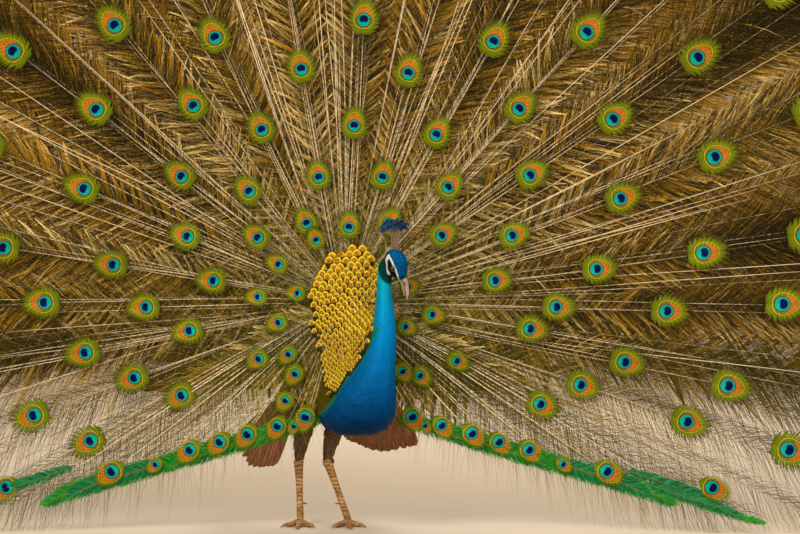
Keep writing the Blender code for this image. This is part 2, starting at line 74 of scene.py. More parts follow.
class Value:
    """A shader value. Arithmetic on it adds the nodes."""

    def __init__(self, finish, socket):
        self.finish, self.socket = finish, socket

    def maths(self, operation, first, *rest):
        return self.finish.node("ShaderNodeMath", {"operation": operation}, dict(enumerate((first, *rest))))

    def __add__(self, other):
        return self.maths("ADD", self, other)

    def __sub__(self, other):
        return self.maths("SUBTRACT", self, other)

    def __rsub__(self, other):
        return self.maths("SUBTRACT", other, self)

    def __mul__(self, other):
        return self.maths("MULTIPLY", self, other)

    def __truediv__(self, other):
        return self.maths("DIVIDE", self, other)

    def __pow__(self, other):
        return self.maths("POWER", self, other)

    __radd__, __rmul__ = __add__, __mul__

    def least(self, other):
        return self.maths("MINIMUM", self, other)

    def most(self, other):
        return self.maths("MAXIMUM", self, other)

    def wave(self):
        return self.maths("SINE", self)

    def size(self):
        return self.maths("ABSOLUTE", self)

    def rise(self, low, high):
        """0 below low, 1 above high, and smooth between. low may be the greater."""
        ends = {"From Min": low, "From Max": high} if low < high else {"From Min": high, "From Max": low}
        made = self.finish.node(
            "ShaderNodeMapRange", {"interpolation_type": "SMOOTHSTEP"}, {"Value": self, **ends}
        )
        return made if low < high else 1.0 - made


class Finish:
    """A material, and the nodes that go into its shader."""

    def __init__(self, name, **constants):
        self.material = bpy.data.materials.new(name)
        self.material.use_nodes = True
        self.tree = self.material.node_tree
        self.shader = self.tree.nodes["Principled BSDF"]
        for socket, value in constants.items():
            self.shader.inputs[socket.replace("_", " ").title().replace("Ior", "IOR")].default_value = value

    def node(self, kind, settings, inputs, out=0):
        made = self.tree.nodes.new(kind)
        for key, value in settings.items():
            setattr(made, key, value)
        for key, value in inputs.items():
            self.put(made.inputs[key], value)
        return Value(self, made.outputs[out])

    def put(self, socket, value):
        if isinstance(value, Value):
            self.tree.links.new(value.socket, socket)
        elif isinstance(value, tuple) and socket.type == "RGBA":
            socket.default_value = (*value, 1.0)
        else:
            socket.default_value = value

    def place(self):
        return self.node("ShaderNodeTexCoord", {}, {}, "Object")

    def attribute(self, name):
        return self.node("ShaderNodeAttribute", {"attribute_name": name}, {}, "Vector")

    def parts(self, vector):
        made = self.node("ShaderNodeSeparateXYZ", {}, {0: vector})
        return [Value(self, made.socket.node.outputs[n]) for n in range(3)]

    def along(self, vector, axis, origin=(0.0, 0.0, 0.0)):
        """How far the vector lies along an axis from an origin."""
        moved = self.node("ShaderNodeVectorMath", {"operation": "SUBTRACT"}, {0: vector, 1: tuple(origin)})
        ends = {0: moved, 1: tuple(axis)}
        return self.node("ShaderNodeVectorMath", {"operation": "DOT_PRODUCT"}, ends, "Value")

    def reach(self, x, y):
        return (x * x + y * y) ** 0.5

    def noise(self, vector, scale, detail=2.0, roughness=0.5):
        inputs = {"Vector": vector, "Scale": scale, "Detail": detail, "Roughness": roughness}
        return self.node("ShaderNodeTexNoise", {}, inputs)

    def cells(self, vector, scale):
        return self.node("ShaderNodeTexVoronoi", {}, {"Vector": vector, "Scale": scale}, "Distance")

    def stretched(self, vector, scale):
        return self.node("ShaderNodeMapping", {}, {"Vector": vector, "Scale": scale})

    def blend(self, first, second, share):
        return self.node("ShaderNodeMix", {"data_type": "RGBA"}, {0: share, 6: first, 7: second}, 2)

    def between(self, first, second, share):
        return self.node("ShaderNodeMix", {"data_type": "FLOAT"}, {0: share, 2: first, 3: second})

    def tinted(self, colour, amount):
        """The colour made darker or lighter by an amount."""
        grey = self.node("ShaderNodeCombineColor", {}, {0: amount, 1: amount, 2: amount})
        return self.node(
            "ShaderNodeMix", {"data_type": "RGBA", "blend_type": "MULTIPLY"}, {0: 1.0, 6: colour, 7: grey}, 2
        )

    def shades(self, value, stops):
        """A colour that runs through the stops, each (place, colour)."""
        made = self.tree.nodes.new("ShaderNodeValToRGB")
        ramp = made.color_ramp
        while len(ramp.elements) < len(stops):
            ramp.elements.new(0.5)
        for element, (place, colour) in zip(ramp.elements, stops):
            element.position, element.color = place, (*colour, 1.0)
        self.put(made.inputs[0], value)
        return Value(self, made.outputs[0])

    def mottled(self, value, dark, pale, low=0.3, high=0.7):
        """A colour between dark and pale."""
        return self.shades(value, ((low, dark), (high, pale)))

    def done(self, colour, height=None, depth=0.001, strength=1.0, **others):
        """Colour and the other varying sockets go to the shader, and height to a bump."""
        self.put(self.shader.inputs["Base Color"], colour)
        for socket, value in others.items():
            self.put(self.shader.inputs[socket.replace("_", " ").title()], value)
        if height is not None:
            bump = self.node(
                "ShaderNodeBump", {}, {"Strength": strength, "Distance": depth, "Height": height}
            )
            self.put(self.shader.inputs["Normal"], bump)
        return self.material


def stroke(finish, x, y, points):
    """Distance from a bent line through the points, in the same units as x and y."""
    nearest = None
    for (ax, ay), (bx, by) in zip(points, points[1:]):
        dx, dy = bx - ax, by - ay
        square = dx * dx + dy * dy
        share = ((x - ax) * (dx / square) + (y - ay) * (dy / square)).most(0.0).least(1.0)
        far = finish.reach(x - ax - share * dx, y - ay - share * dy)
        nearest = far if nearest is None else nearest.least(far)
    return nearest


def trunk_colours(f, where, grain):
    """Blue neck and breast, teal shoulder, green and olive mantle, gold rump, dark belly, brown thighs."""
    x, y, z = f.parts(where)
    patches = f.noise(where, 30.0, 2.0)
    # Neck and breast, from turquoise under the head to navy at the keel
    blue = f.shades(
        (z - 0.20) / 0.38 + (patches - 0.5) * 0.07 + (grain - 0.5) * 0.05,
        (
            (0.00, (0.001, 0.013, 0.060)),
            (0.08, (0.001, 0.026, 0.100)),
            (0.20, (0.001, 0.060, 0.200)),
            (0.40, (0.001, 0.120, 0.340)),
            (0.62, (0.001, 0.220, 0.560)),
            (0.82, (0.002, 0.310, 0.590)),
            (0.95, (0.004, 0.400, 0.520)),
        ),
    )
    # Shoulder: teal-green beside the gold, then the green mantle
    gold_edge = (z * 0.68 - 0.230).least(z * 0.36 - 0.102)
    beside = gold_edge + 0.030 - x + (patches - 0.5) * 0.010
    on_side = z.rise(0.47, 0.44) * (z - (x + 0.02).least(0.0)).rise(0.285, 0.305) * y.rise(-0.185, -0.172)
    teal = f.mottled(grain, (0.001, 0.130, 0.210), (0.004, 0.280, 0.200))
    colour = f.blend(blue, teal, beside.rise(-0.002, 0.012) * on_side * 0.9)
    green = f.mottled(grain, (0.002, 0.130, 0.060), (0.020, 0.260, 0.060))
    colour = f.blend(colour, green, beside.rise(0.016, 0.026) * on_side)
    olive = f.mottled(grain, (0.020, 0.050, 0.006), (0.150, 0.130, 0.010))
    mantle = (y + 0.112 - (z - 0.40) * 0.35 + (patches - 0.5) * 0.02).rise(0.0, 0.022)
    colour = f.blend(colour, olive, mantle * z.rise(0.500, 0.470) * z.rise(0.33, 0.37))
    # Rump hood and flank: dark green and gold under the gold scales
    gold_base = f.mottled(grain, (0.030, 0.030, 0.002), (0.170, 0.115, 0.006))
    colour = f.blend(colour, gold_base, y.rise(-0.118, -0.110) * z.rise(0.415, 0.430) * x.rise(0.078, 0.072))
    colour = f.blend(colour, gold_base, beside.rise(0.028, 0.034) * on_side)
    # Belly, flanks and vent: dark, with brown down at the rear
    dark = f.mottled(grain, (0.010, 0.013, 0.008), (0.036, 0.036, 0.022))
    colour = f.blend(colour, dark, y.rise(-0.030, 0.010) * z.rise(0.345, 0.315))
    down = f.mottled(grain, (0.040, 0.028, 0.018), (0.120, 0.088, 0.058))
    colour = f.blend(colour, down, y.rise(0.030, 0.075) * z.rise(0.43, 0.39))
    thigh = f.mottled(grain, (0.085, 0.048, 0.022), (0.220, 0.140, 0.072), 0.25, 0.75)
    return f.blend(colour, thigh, z.rise(0.226, 0.208) * y.rise(-0.040, -0.010))


def face_colours(f, where, grain, along, up, side):
    """Blue-green throat, blue crown with painted glints, and black eye line. along, up and side are in
    millimetres.
    """
    throat = f.mottled(grain, (0.001, 0.026, 0.026), (0.003, 0.080, 0.062))
    # The crown's small cells are painted bright blue in the middle and dark navy at their edges: the bright
    # middles are painted glints.
    crown = f.shades(
        f.cells(where, 620.0),
        ((0.0, (0.004, 0.260, 0.560)), (0.45, (0.001, 0.110, 0.330)), (0.8, (0.001, 0.020, 0.090))),
    )
    black = f.mottled(grain, (0.002, 0.005, 0.007), (0.008, 0.020, 0.022))
    edge = (grain - 0.5) * 1.6
    under_crown = up - (10.5 - (along - 2.0).most(0.0) * 0.35 - (along - 16.0).most(0.0) * 0.75)
    face = f.blend(throat, crown, (under_crown + edge).rise(-0.6, 1.2))
    eye_line = (stroke(f, along, up, EYE_LINE) + edge).rise(10.5, 8.0)
    return f.blend(face, black, eye_line * side.rise(3.0, 7.0) * under_crown.rise(1.0, -1.0))


def bare_stripes(f, grain, along, up, side):
    """Where the face is bare white skin: over the eye, and broader under it."""
    edge = (grain - 0.5) * 1.6
    thin = (along + 22.0) / 55.0  # they narrow towards the bill
    white = (stroke(f, along, up, UPPER_STRIPE) + edge * 0.4 - (2.7 - thin * 1.1)).rise(0.4, -0.4)
    white = white.most((stroke(f, along, up, LOWER_STRIPE) + edge * 0.4 - (4.3 - thin * 0.6)).rise(0.5, -0.5))
    return white * side.rise(0.5, 3.0) * along.rise(42.0, 36.0) * along.rise(-40.0, -36.0)


def plumage(name, shade, **constants):
    """The body's markings: head, neck, breast, mantle, flanks and thighs. Skin and feathers share them, and
    shade below 1 darkens all but the bare skin as painted shade.
    """
    f = Finish(name, **constants)
    where = f.place()
    z = f.parts(where)[2]
    grain = f.noise(where, 260.0, 3.0)
    along = f.along(where, BILL_AXIS, HEAD_CENTRE) * 1000.0
    up = f.along(where, CROWN_AXIS, HEAD_CENTRE) * 1000.0
    side = f.along(where, CHEEK_AXIS, HEAD_CENTRE).size() * 1000.0
    near_head = (f.reach(f.reach(along, up), side) - (grain - 0.5) * 8.0).rise(50.0, 44.0)
    chin = along.rise(14.0, 20.0) * z.rise(0.50, 0.53)
    on_head = near_head * (z + (grain - 0.5) * 0.006).rise(0.549, 0.556).most(chin)
    colour = f.blend(trunk_colours(f, where, grain), face_colours(f, where, grain, along, up, side), on_head)
    colour = f.tinted(colour, (0.72 + grain * 0.55) * shade)
    bare = f.mottled(f.noise(where, 900.0, 3.0), (0.700, 0.730, 0.680), (0.900, 0.910, 0.860))
    colour = f.blend(colour, bare, bare_stripes(f, grain, along, up, side))
    fibre = f.noise(f.stretched(where, (1.0, 1.0, 0.35)), 900.0, 2.0)
    return f.done(colour, height=fibre, depth=0.0006, strength=0.6, Roughness=0.36 + grain * 0.28)


def train_finish():
    """Bronze and golden barbs. Each carries (tone, green share or -1 for drab, place along) in lie."""
    f = Finish("train_bronze_barbs", metallic=0.2, specular_ior_level=0.15)
    tone, green, _ = f.parts(f.attribute("lie"))
    grain = f.noise(f.place(), 420.0, 2.0)
    tone = tone + (grain - 0.5) * 0.22
    bronze = f.shades(
        tone,
        (
            (0.00, (0.012, 0.007, 0.001)),
            (0.22, (0.045, 0.026, 0.002)),
            (0.45, (0.170, 0.095, 0.007)),
            (0.70, (0.480, 0.255, 0.012)),
            (0.86, (0.780, 0.420, 0.038)),
            (1.00, (0.980, 0.740, 0.280)),
        ),
    )
    leaf = f.shades(
        tone,
        (
            (0.00, (0.020, 0.030, 0.001)),
            (0.35, (0.070, 0.095, 0.002)),
            (0.60, (0.220, 0.230, 0.004)),
            (1.00, (0.560, 0.470, 0.030)),
        ),
    )
    drab = f.mottled(tone, (0.060, 0.044, 0.026), (0.210, 0.160, 0.100), 0.1, 0.9)
    colour = f.blend(f.blend(bronze, leaf, green), drab, (0.0 - green).rise(0.2, 0.6))
    return f.done(colour, Roughness=0.42 + grain * 0.3)


def quill_finish():
    """Cream quills, brown near their tips."""
    f = Finish("cream_quills", specular_ior_level=0.3)
    where = f.place()
    grain = f.noise(where, 90.0, 3.0)
    out = f.parts(f.attribute("lie"))[2]
    cream = f.shades(
        grain, ((0.25, (0.700, 0.500, 0.250)), (0.6, (0.950, 0.780, 0.480)), (0.9, (1.000, 0.920, 0.660)))
    )
    brown = f.mottled(grain, (0.170, 0.095, 0.035), (0.420, 0.270, 0.120))
    return f.done(
        f.blend(cream, brown, (out + (grain - 0.5) * 0.3).rise(0.80, 1.05)),
        height=f.noise(where, 700.0),
        depth=0.0004,
        Roughness=0.30 + grain * 0.2,
    )


def eyespot_finish():
    """The ocellus, from its own plan in spot: x across and y along the feather, 1 at the gold ring."""
    f = Finish("eyespots", metallic=0.2, specular_ior_level=0.04)
    x, y, vane = f.parts(f.attribute("spot"))
    grain = f.noise(f.place(), 500.0, 2.0)
    wobble = (grain - 0.5) * 0.06
    egg = f.reach(x * (1.08 + y * 0.22), y * 0.92 - 0.03) + wobble
    colour = f.shades(  # the halo beyond the gold ring
        egg / 1.7 + (grain - 0.5) * 0.12,
        (
            (0.58, (0.260, 0.290, 0.008)),
            (0.68, (0.170, 0.230, 0.006)),
            (0.82, (0.130, 0.150, 0.005)),
            (0.98, (0.090, 0.070, 0.005)),
        ),
    )
    colour = f.blend(colour, (0.030, 0.040, 0.002), egg.rise(1.12, 1.07) * 0.7)
    colour = f.blend(colour, (0.440, 0.430, 0.012), egg.rise(1.06, 1.01))
    colour = f.blend(colour, (0.150, 0.110, 0.006), egg.rise(0.96, 0.92))
    copper = f.mottled(grain, (0.380, 0.120, 0.010), (0.620, 0.230, 0.022))
    bronze = f.mottled(grain, (0.150, 0.120, 0.010), (0.300, 0.210, 0.018))
    colour = f.blend(colour, f.blend(bronze, copper, y.rise(-0.10, 0.26)), egg.rise(0.91, 0.86))
    disc = f.reach(x * 1.02, y + 0.26) + wobble
    colour = f.blend(colour, (0.070, 0.052, 0.012), disc.rise(0.70, 0.65))
    turquoise = f.mottled(grain, (0.002, 0.330, 0.270), (0.004, 0.520, 0.370))
    colour = f.blend(colour, turquoise, disc.rise(0.62, 0.57))
    heart = f.reach(x * 1.05, (y + 0.17) * 1.25) + wobble
    heart = heart + ((0.20 - x.size()) * 0.55 - (y + 0.34) * 0.4).most(0.0) * y.rise(-0.28, -0.40)
    colour = f.blend(colour, (0.001, 0.100, 0.300), heart.rise(0.51, 0.44))
    colour = f.blend(colour, (0.001, 0.006, 0.050), heart.rise(0.43, 0.37))
    ribs = (vane * 60.0).wave()
    colour = f.tinted(colour, 0.78 + grain * 0.42)
    return f.done(colour, height=ribs, depth=0.0006, strength=0.5, Roughness=0.34 + grain * 0.2)


def edge_finish():
    """The bright green vanes of the lower edge."""
    f = Finish("green_edge_vanes", metallic=0.2, specular_ior_level=0.15)
    tone, teal, out = f.parts(f.attribute("lie"))
    grain = f.noise(f.place(), 380.0, 2.0)
    leaf = f.shades(
        tone + (grain - 0.5) * 0.3,
        ((0.0, (0.004, 0.070, 0.004)), (0.5, (0.012, 0.280, 0.012)), (1.0, (0.110, 0.520, 0.030))),
    )
    sea = f.mottled(tone, (0.002, 0.085, 0.045), (0.008, 0.330, 0.170), 0.0, 1.0)
    colour = f.blend(leaf, sea, teal)
    colour = f.blend(colour, (0.210, 0.180, 0.012), out.rise(0.18, 0.02) * 0.7)
    return f.done(colour, Roughness=0.40 + grain * 0.25)


def scale_finish():
    """A gold scale: dark root, golden crescent and thin dark rim, from its own plan in spot."""
    f = Finish("gold_scales_feathers", metallic=0.35, specular_ior_level=0.25)
    x, y, copper = f.parts(f.attribute("spot"))
    grain = f.noise(f.place(), 600.0, 2.0)
    ring = f.reach(x * 0.97, (y - 0.64) * 2.80)  # 1 at the rounded tip
    gold = f.shades(
        grain, ((0.25, (0.560, 0.350, 0.004)), (0.5, (0.840, 0.580, 0.010)), (0.8, (0.980, 0.760, 0.040)))
    )
    orange = f.mottled(grain, (0.170, 0.080, 0.004), (0.420, 0.210, 0.010))
    warm = f.mottled(grain, (0.420, 0.150, 0.010), (0.680, 0.300, 0.022))
    green = f.mottled(grain, (0.012, 0.016, 0.001), (0.055, 0.050, 0.003))
    colour = f.blend(green, gold, ring.rise(1.5, 1.2) * y.rise(0.46, 0.60))
    colour = f.blend(colour, f.blend(orange, warm, copper), ring.rise(0.58, 0.40))
    colour = f.blend(colour, (0.022, 0.016, 0.002), ring.rise(0.85, 0.92))
    return f.done(
        f.tinted(colour, 0.75 + grain * 0.5), height=(x * 40.0).wave(), depth=0.0003, strength=0.4,
        Roughness=0.34 + grain * 0.2,
    )


def vane_finish(name, pale, dark, bars, **constants):
    """A quilled feather: shaft, barb lines and bars or mottling, from its own plan in spot."""
    f = Finish(name, **constants)
    x, y, kind = f.parts(f.attribute("spot"))
    where = f.place()
    grain = f.noise(where, 160.0, 4.0, 0.7)
    wavy = y * bars + (x * x) * -1.2 + (grain - 0.5) * 2.6 + kind * 7.0
    barred = (wavy * 6.2832).wave().rise(-0.25, 0.45)
    colour = f.blend(pale, dark, barred)
    colour = f.tinted(colour, 0.70 + grain * 0.60)
    colour = f.blend(colour, tuple(min(1.0, c * 1.9 + 0.04) for c in pale), x.size().rise(0.075, 0.045))
    ribs = (x.size() * 26.0 + y * 190.0).wave()
    return f.done(colour, height=ribs, depth=0.0005, strength=0.6, Roughness=0.55 + grain * 0.25)


def horn_finish():
    """Pale horn, with a nostril's slit in its flange, painted near black as painted shade in the hole."""
    f = Finish("bill_horn", coat_weight=0.15, coat_roughness=0.2)
    where = f.place()
    along = f.along(where, BILL_AXIS, HEAD_CENTRE) * 1000.0
    up = f.along(where, CROWN_AXIS, HEAD_CENTRE) * 1000.0
    grain = f.noise(where, 240.0, 4.0)
    colour = f.shades(
        (along - 33.0) / 50.0 + (grain - 0.5) * 0.25,
        (
            (0.00, (0.420, 0.310, 0.260)),
            (0.30, (0.440, 0.290, 0.225)),
            (0.65, (0.540, 0.360, 0.260)),
            (1.00, (0.260, 0.170, 0.120)),
        ),
    )
    slit = stroke(f, along, up, ((43.0, -4.6), (49.5, -8.4)))
    shaded_hole = slit.rise(1.5, 0.7)
    flange = slit.rise(3.2, 1.6)
    # The slit is painted near black: painted shade inside the nostril.
    colour = f.blend(f.blend(colour, (0.360, 0.300, 0.260), flange * 0.6), (0.012, 0.008, 0.006), shaded_hole)
    return f.done(
        f.tinted(colour, 0.8 + grain * 0.4), height=flange * 0.6 - shaded_hole * 1.6 + grain * 0.15, depth=0.0008,
        Roughness=0.28 + grain * 0.25,
    )


def eye_finish():
    """Dark brown iris round a black pupil, seen along the cheek."""
    f = Finish("eye_iris", coat_weight=0.55, coat_roughness=0.02)
    where = f.place()
    along = f.along(where, BILL_AXIS, HEAD_CENTRE) - EYE_PLACE[0]
    up = f.along(where, CROWN_AXIS, HEAD_CENTRE) - EYE_PLACE[1]
    out = f.reach(along, up) / EYE_RADIUS
    rays = f.noise(where, 900.0, 3.0)
    iris = f.mottled(rays, (0.012, 0.005, 0.003), (0.040, 0.016, 0.009))
    colour = f.blend((0.002, 0.002, 0.002), iris, out.rise(0.40, 0.46))
    colour = f.blend(colour, (0.012, 0.008, 0.006), out.rise(0.80, 0.92))
    return f.done(colour, Roughness=0.12 + rays * 0.04)


def lid_finish():
    """Dark grey skin."""
    f = Finish("eyelids")
    grain = f.noise(f.place(), 1400.0, 3.0)
    colour = f.mottled(grain, (0.035, 0.038, 0.045), (0.130, 0.130, 0.135))
    return f.done(colour, height=grain, depth=0.0003, Roughness=0.45 + grain * 0.2)


def crest_finish():
    """Bare buff stems and blue-green fans. lie holds (tone, fan share, place along)."""
    f = Finish("crest_feathers", metallic=0.1)
    tone, fan, _ = f.parts(f.attribute("lie"))
    grain = f.noise(f.place(), 700.0)
    buff = f.mottled(tone + grain * 0.4 - 0.2, (0.210, 0.130, 0.070), (0.600, 0.430, 0.290), 0.1, 0.9)
    blue = f.shades(
        tone + grain * 0.5 - 0.25,
        ((0.1, (0.001, 0.010, 0.040)), (0.6, (0.002, 0.042, 0.170)), (1.0, (0.003, 0.120, 0.300))),
    )
    return f.done(f.blend(buff, blue, fan), Roughness=0.40 + grain * 0.2)


def leg_finish():
    """Tan legs with brown rows of scutes. The rows follow the height on the shank and the toes' lie."""
    f = Finish("scaled_legs", specular_ior_level=0.45)
    where = f.place()
    x, y, z = f.parts(where)
    grain = f.noise(where, 150.0, 3.0)
    shank = z.rise(0.024, 0.034)
    rows = (z + y * 0.30) * 112.0
    toes = (y + x * 0.25) * 150.0
    bands = f.between(toes, rows, shank) + grain * 1.6
    lines = (bands * 3.14159).wave().size()
    plates = lines.rise(0.06, 0.55)
    cells = f.cells(where, 420.0)
    back = y - (z * 0.17 - 0.012)
    small = back.rise(0.001, 0.005) * shank
    plates = f.between(plates, 1.0 - cells.rise(0.30, 0.62), small)
    tan = f.shades(
        grain + (bands * 1.2).wave() * 0.12,
        ((0.2, (0.240, 0.100, 0.022)), (0.5, (0.460, 0.225, 0.060)), (0.8, (0.660, 0.390, 0.120))),
    )
    colour = f.blend((0.085, 0.036, 0.013), tan, plates)
    return f.done(colour, height=plates, depth=0.0010, strength=0.9, Roughness=0.42 + grain * 0.25)


# ---------------------------------------------------------------- shapes


def unit(vectors):
    return vectors / np.maximum(np.linalg.norm(vectors, axis=-1, keepdims=True), 1e-9)


def piece(name, mesh, finish, slot, *nodes):
    """The mesh as a piece of the bird that rides on its body and stands for the nodes."""
    mesh.materials.clear()
    mesh.materials.append(finish)
    made = bpy.data.objects.new(name, mesh)
    bpy.context.scene.collection.objects.link(made)
    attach(made, "root")
    if nodes:
        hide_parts(*nodes)
    return made


def mesh_of(bm, name):
    """The bmesh as a mesh. The bmesh is freed."""
    mesh = bpy.data.meshes.new(name)
    bm.to_mesh(mesh)
    bm.free()
    return mesh


def grid_faces(count, rows, across):
    """Quads of sheets of rows by across corners, one sheet after the other."""
    base = (np.arange(count)[:, None, None] * rows + np.arange(rows - 1)[None, :, None]) * across
    first = base + np.arange(across - 1)
    return np.stack((first, first + 1, first + across + 1, first + across), axis=-1).reshape(-1, 4)


def strips(lines, halves):
    """Flat strips along lines (count, points, 3), each point widened by its half width vector."""
    corners = np.stack((lines - halves, lines + halves), axis=2).reshape(-1, 3)
    return corners, grid_faces(*lines.shape[:2], 2)


def patch_for(roots, across, along):
    """Each tuft's patch: its root's place on the unwrap, and its own plan within the patch."""
    plan = np.stack((across, along), axis=-1) * TUFT_PATCH
    return (roots[:, None, :] + plan.reshape(len(roots), -1, 2)).reshape(-1, 2)


def coat_mesh(name, corners, faces, patches, values, label):
    """A mesh of many tufts from arrays, with its bake patches and its values for the finish."""
    mesh = bpy.data.meshes.new(name)
    mesh.vertices.add(len(corners))
    mesh.vertices.foreach_set("co", corners.astype(np.float32).ravel())
    mesh.loops.add(faces.size)
    mesh.loops.foreach_set("vertex_index", faces.astype(np.int32).ravel())
    mesh.polygons.add(len(faces))
    mesh.polygons.foreach_set("loop_start", np.arange(0, faces.size, faces.shape[1], dtype=np.int32))
    mesh.update(calc_edges=True)
    unwrap = mesh.uv_layers.new(name="OFBake")
    unwrap.data.foreach_set("uv", np.clip(patches, 0.001, 0.999)[faces.ravel()].astype(np.float32).ravel())
    layer = mesh.attributes.new(label, "FLOAT_VECTOR", "POINT")
    layer.data.foreach_set("vector", values.astype(np.float32).ravel())
    mesh.validate()
    mesh.shade_smooth()
    return mesh


class Coat:
    """Gathers tufts of one finish, and makes pieces of them."""

    def __init__(self):
        self.corners, self.faces, self.patches, self.values, self.total = [], [], [], [], 0

    def add(self, corners, faces, patches, values):
        self.corners.append(corners)
        self.faces.append(faces + self.total)
        self.patches.append(patches)
        self.values.append(values)
        self.total += len(corners)

    def mesh(self, name, label):
        return coat_mesh(
            name, np.concatenate(self.corners), np.concatenate(self.faces), np.concatenate(self.patches),
            np.concatenate(self.values), label,
        )


def fan_place(points):
    """The train's own unwrap: its dish laid flat."""
    return np.stack(((points[..., 0] + 1.45) / 2.9, points[..., 2] / 2.0 + 0.01), axis=-1)


def copied(node):
    """The node's shape, its doubles merged, as a new bmesh."""
    bm = bmesh.new()
    bm.from_mesh(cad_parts[node].data)
    bmesh.ops.remove_doubles(bm, verts=bm.verts, dist=1e-5)
    return bm


def remeshed(bm, voxel, grow=0.0, smooth=4):
    """One smooth closed surface round everything in the bmesh."""
    helper = bpy.data.objects.new("shape", mesh_of(bm, "shape"))
    bpy.context.scene.collection.objects.link(helper)
    if grow:
        swell = helper.modifiers.new("swell", "DISPLACE")
        swell.strength, swell.mid_level = grow, 0.0
    surface = helper.modifiers.new("surface", "REMESH")
    surface.mode, surface.voxel_size, surface.use_smooth_shade = "VOXEL", voxel, True
    soften = helper.modifiers.new("soften", "SMOOTH")
    soften.factor, soften.iterations = 0.5, smooth
    bpy.context.view_layer.update()
    graph = bpy.context.evaluated_depsgraph_get()
    made = bpy.data.meshes.new_from_object(helper.evaluated_get(graph))
    bpy.data.objects.remove(helper)
    return made


def vertex_arrays(mesh):
    """The places and the normals of the mesh's vertices."""
    places = np.empty(len(mesh.vertices) * 3, np.float32)
    mesh.vertices.foreach_get("co", places)
    normals = np.empty(len(mesh.vertices) * 3, np.float32)
    mesh.vertices.foreach_get("normal", normals)
    return places.reshape(-1, 3).astype(float), normals.reshape(-1, 3).astype(float)


# ---------------------------------------------------------------- skin

# The solids that one skin stands for
FLESH = ("trunk", "neck_lower", "neck_upper", "head", "rump", "thigh_left", "thigh_right")
# The spine from the vent to the crown, for the coat's lie and its unwrap.
SPINE = np.array(
    (
        (-0.061, 0.152, 0.382), (-0.049, 0.112, 0.372), (-0.031, 0.066, 0.358), (-0.008, 0.016, 0.340),
        (0.017, -0.038, 0.326), (0.034, -0.088, 0.312), (0.044, -0.128, 0.318), (0.055, -0.156, 0.342),
        (0.068, -0.168, 0.374), (0.080, -0.160, 0.408), (0.087, -0.148, 0.445), (0.090, -0.134, 0.486),
        (0.089, -0.121, 0.530), (0.090, -0.115, 0.566), (0.094, -0.120, 0.592),
    )
)


def head_point(along, up, side):
    return HEAD_CENTRE + BILL_AXIS * along + CROWN_AXIS * up + CHEEK_AXIS * side


def head_terms(points):
    """How far the points lie along the head, up it and out to its side."""
    away = points - np.array(HEAD_CENTRE)
    return [away @ np.array(axis) for axis in (BILL_AXIS, CROWN_AXIS, CHEEK_AXIS)]


def regions(points):
    """Shares of the head, the hood and the thighs at each point."""
    along, up, side = head_terms(points)
    far = np.sqrt(along**2 + up**2 + side**2)
    head = np.clip((0.046 - far) / 0.010, 0, 1)
    x, y, z = points.T
    neck_edge = 0.104 - 0.40 * np.clip(z - 0.505, 0, 1)
    hood = ((y > -0.1075) & (z > 0.405) & (x < neck_edge) & (head == 0)).astype(float)
    hood = hood * ~((x > 0.066) & (y < -0.092) & (z > 0.43))
    thigh = ((z < 0.222) & (y > -0.030)).astype(float)
    return head, hood, thigh


def gold_edges(z):
    """The shield's edges on the trunk at a height: towards the flank, and towards the neck."""
    return -0.028 - (z - 0.323) * 0.25, np.minimum(z * 0.68 - 0.230, z * 0.36 - 0.102)


def on_shield(points):
    """Whether the points lie under the shield's lower part."""
    x, y, z = points.T
    left, right = gold_edges(z)
    return (z > 0.298) & (z < 0.44) & (x > left - 0.004) & (x < right + 0.002) & (y < -0.020)


def coat_depth(points):
    """How thick the feathers lie at the points."""
    head, hood, thigh = regions(points)
    depth = 0.0028 - 0.0012 * np.clip((points[:, 2] - 0.42) / 0.14, 0, 1)
    return np.where(head > 0, 0.0016 - 0.0008 * head, depth) + thigh * 0.002 + hood * 0.001


def make_skin():
    """One skin in place of the flesh, without a seam, inside it by the coat's depth."""
    whole = bmesh.new()
    for node in FLESH:
        whole.from_mesh(mesh_of(copied(node), "part"))
    grown = 0.0007  # taken off again with the coat's depth
    mesh = remeshed(whole, 0.0025, grown, 4)
    places, normals = vertex_arrays(mesh)
    sunk = places - normals * (coat_depth(places) + grown)[:, None]
    mesh.vertices.foreach_set("co", sunk.astype(np.float32).ravel())
    mesh.update()
    return mesh


def spine_terms(points):
    """For each point: the nearest place along the spine (0 to 1), the way there and the angle round it."""
    ways = SPINE[1:] - SPINE[:-1]
    lengths = np.linalg.norm(ways, axis=1)
    starts = np.concatenate(((0,), np.cumsum(lengths)))
    best = np.full(len(points), 1e9)
    place, way, centre = np.zeros(len(points)), np.zeros((len(points), 3)), np.zeros((len(points), 3))
    for n, (a, w) in enumerate(zip(SPINE, ways)):
        share = np.clip((points - a) @ w / lengths[n] ** 2, 0, 1)
        near = a + share[:, None] * w
        far = np.linalg.norm(points - near, axis=1)
        closer = far < best
        best = np.where(closer, far, best)
        place = np.where(closer, (starts[n] + share * lengths[n]) / starts[-1], place)
        way[closer] = w / lengths[n]
        centre[closer] = near[closer]
    away = points - centre
    side = away[:, 0]
    up = np.cross(way, np.array((1.0, 0.0, 0.0)))
    angle = np.arctan2(np.sum(away * unit(up), axis=1), side)
    return place, way, angle


def body_place(points):
    """The skin's own unwrap: along the spine, and round it."""
    place, _, angle = spine_terms(points)
    _, hood, thigh = regions(points)
    u = angle / (2 * np.pi) * 0.60 + 0.31
    v = 0.02 + place * 0.94
    u = np.where(hood > 0, 0.64 + (points[:, 0] + 0.12) * 1.4, u)
    v = np.where(hood > 0, 0.10 + (points[:, 2] - 0.38) * 1.6 + (points[:, 1] > -0.07) * 0.45, v)
    u = np.where(thigh > 0, 0.64 + (points[:, 0] + 0.14) * 1.2, u)
    v = np.where(thigh > 0, (points[:, 2] - 0.12) * 0.6 + 0.005, v)
    return np.stack((u, v), axis=-1)


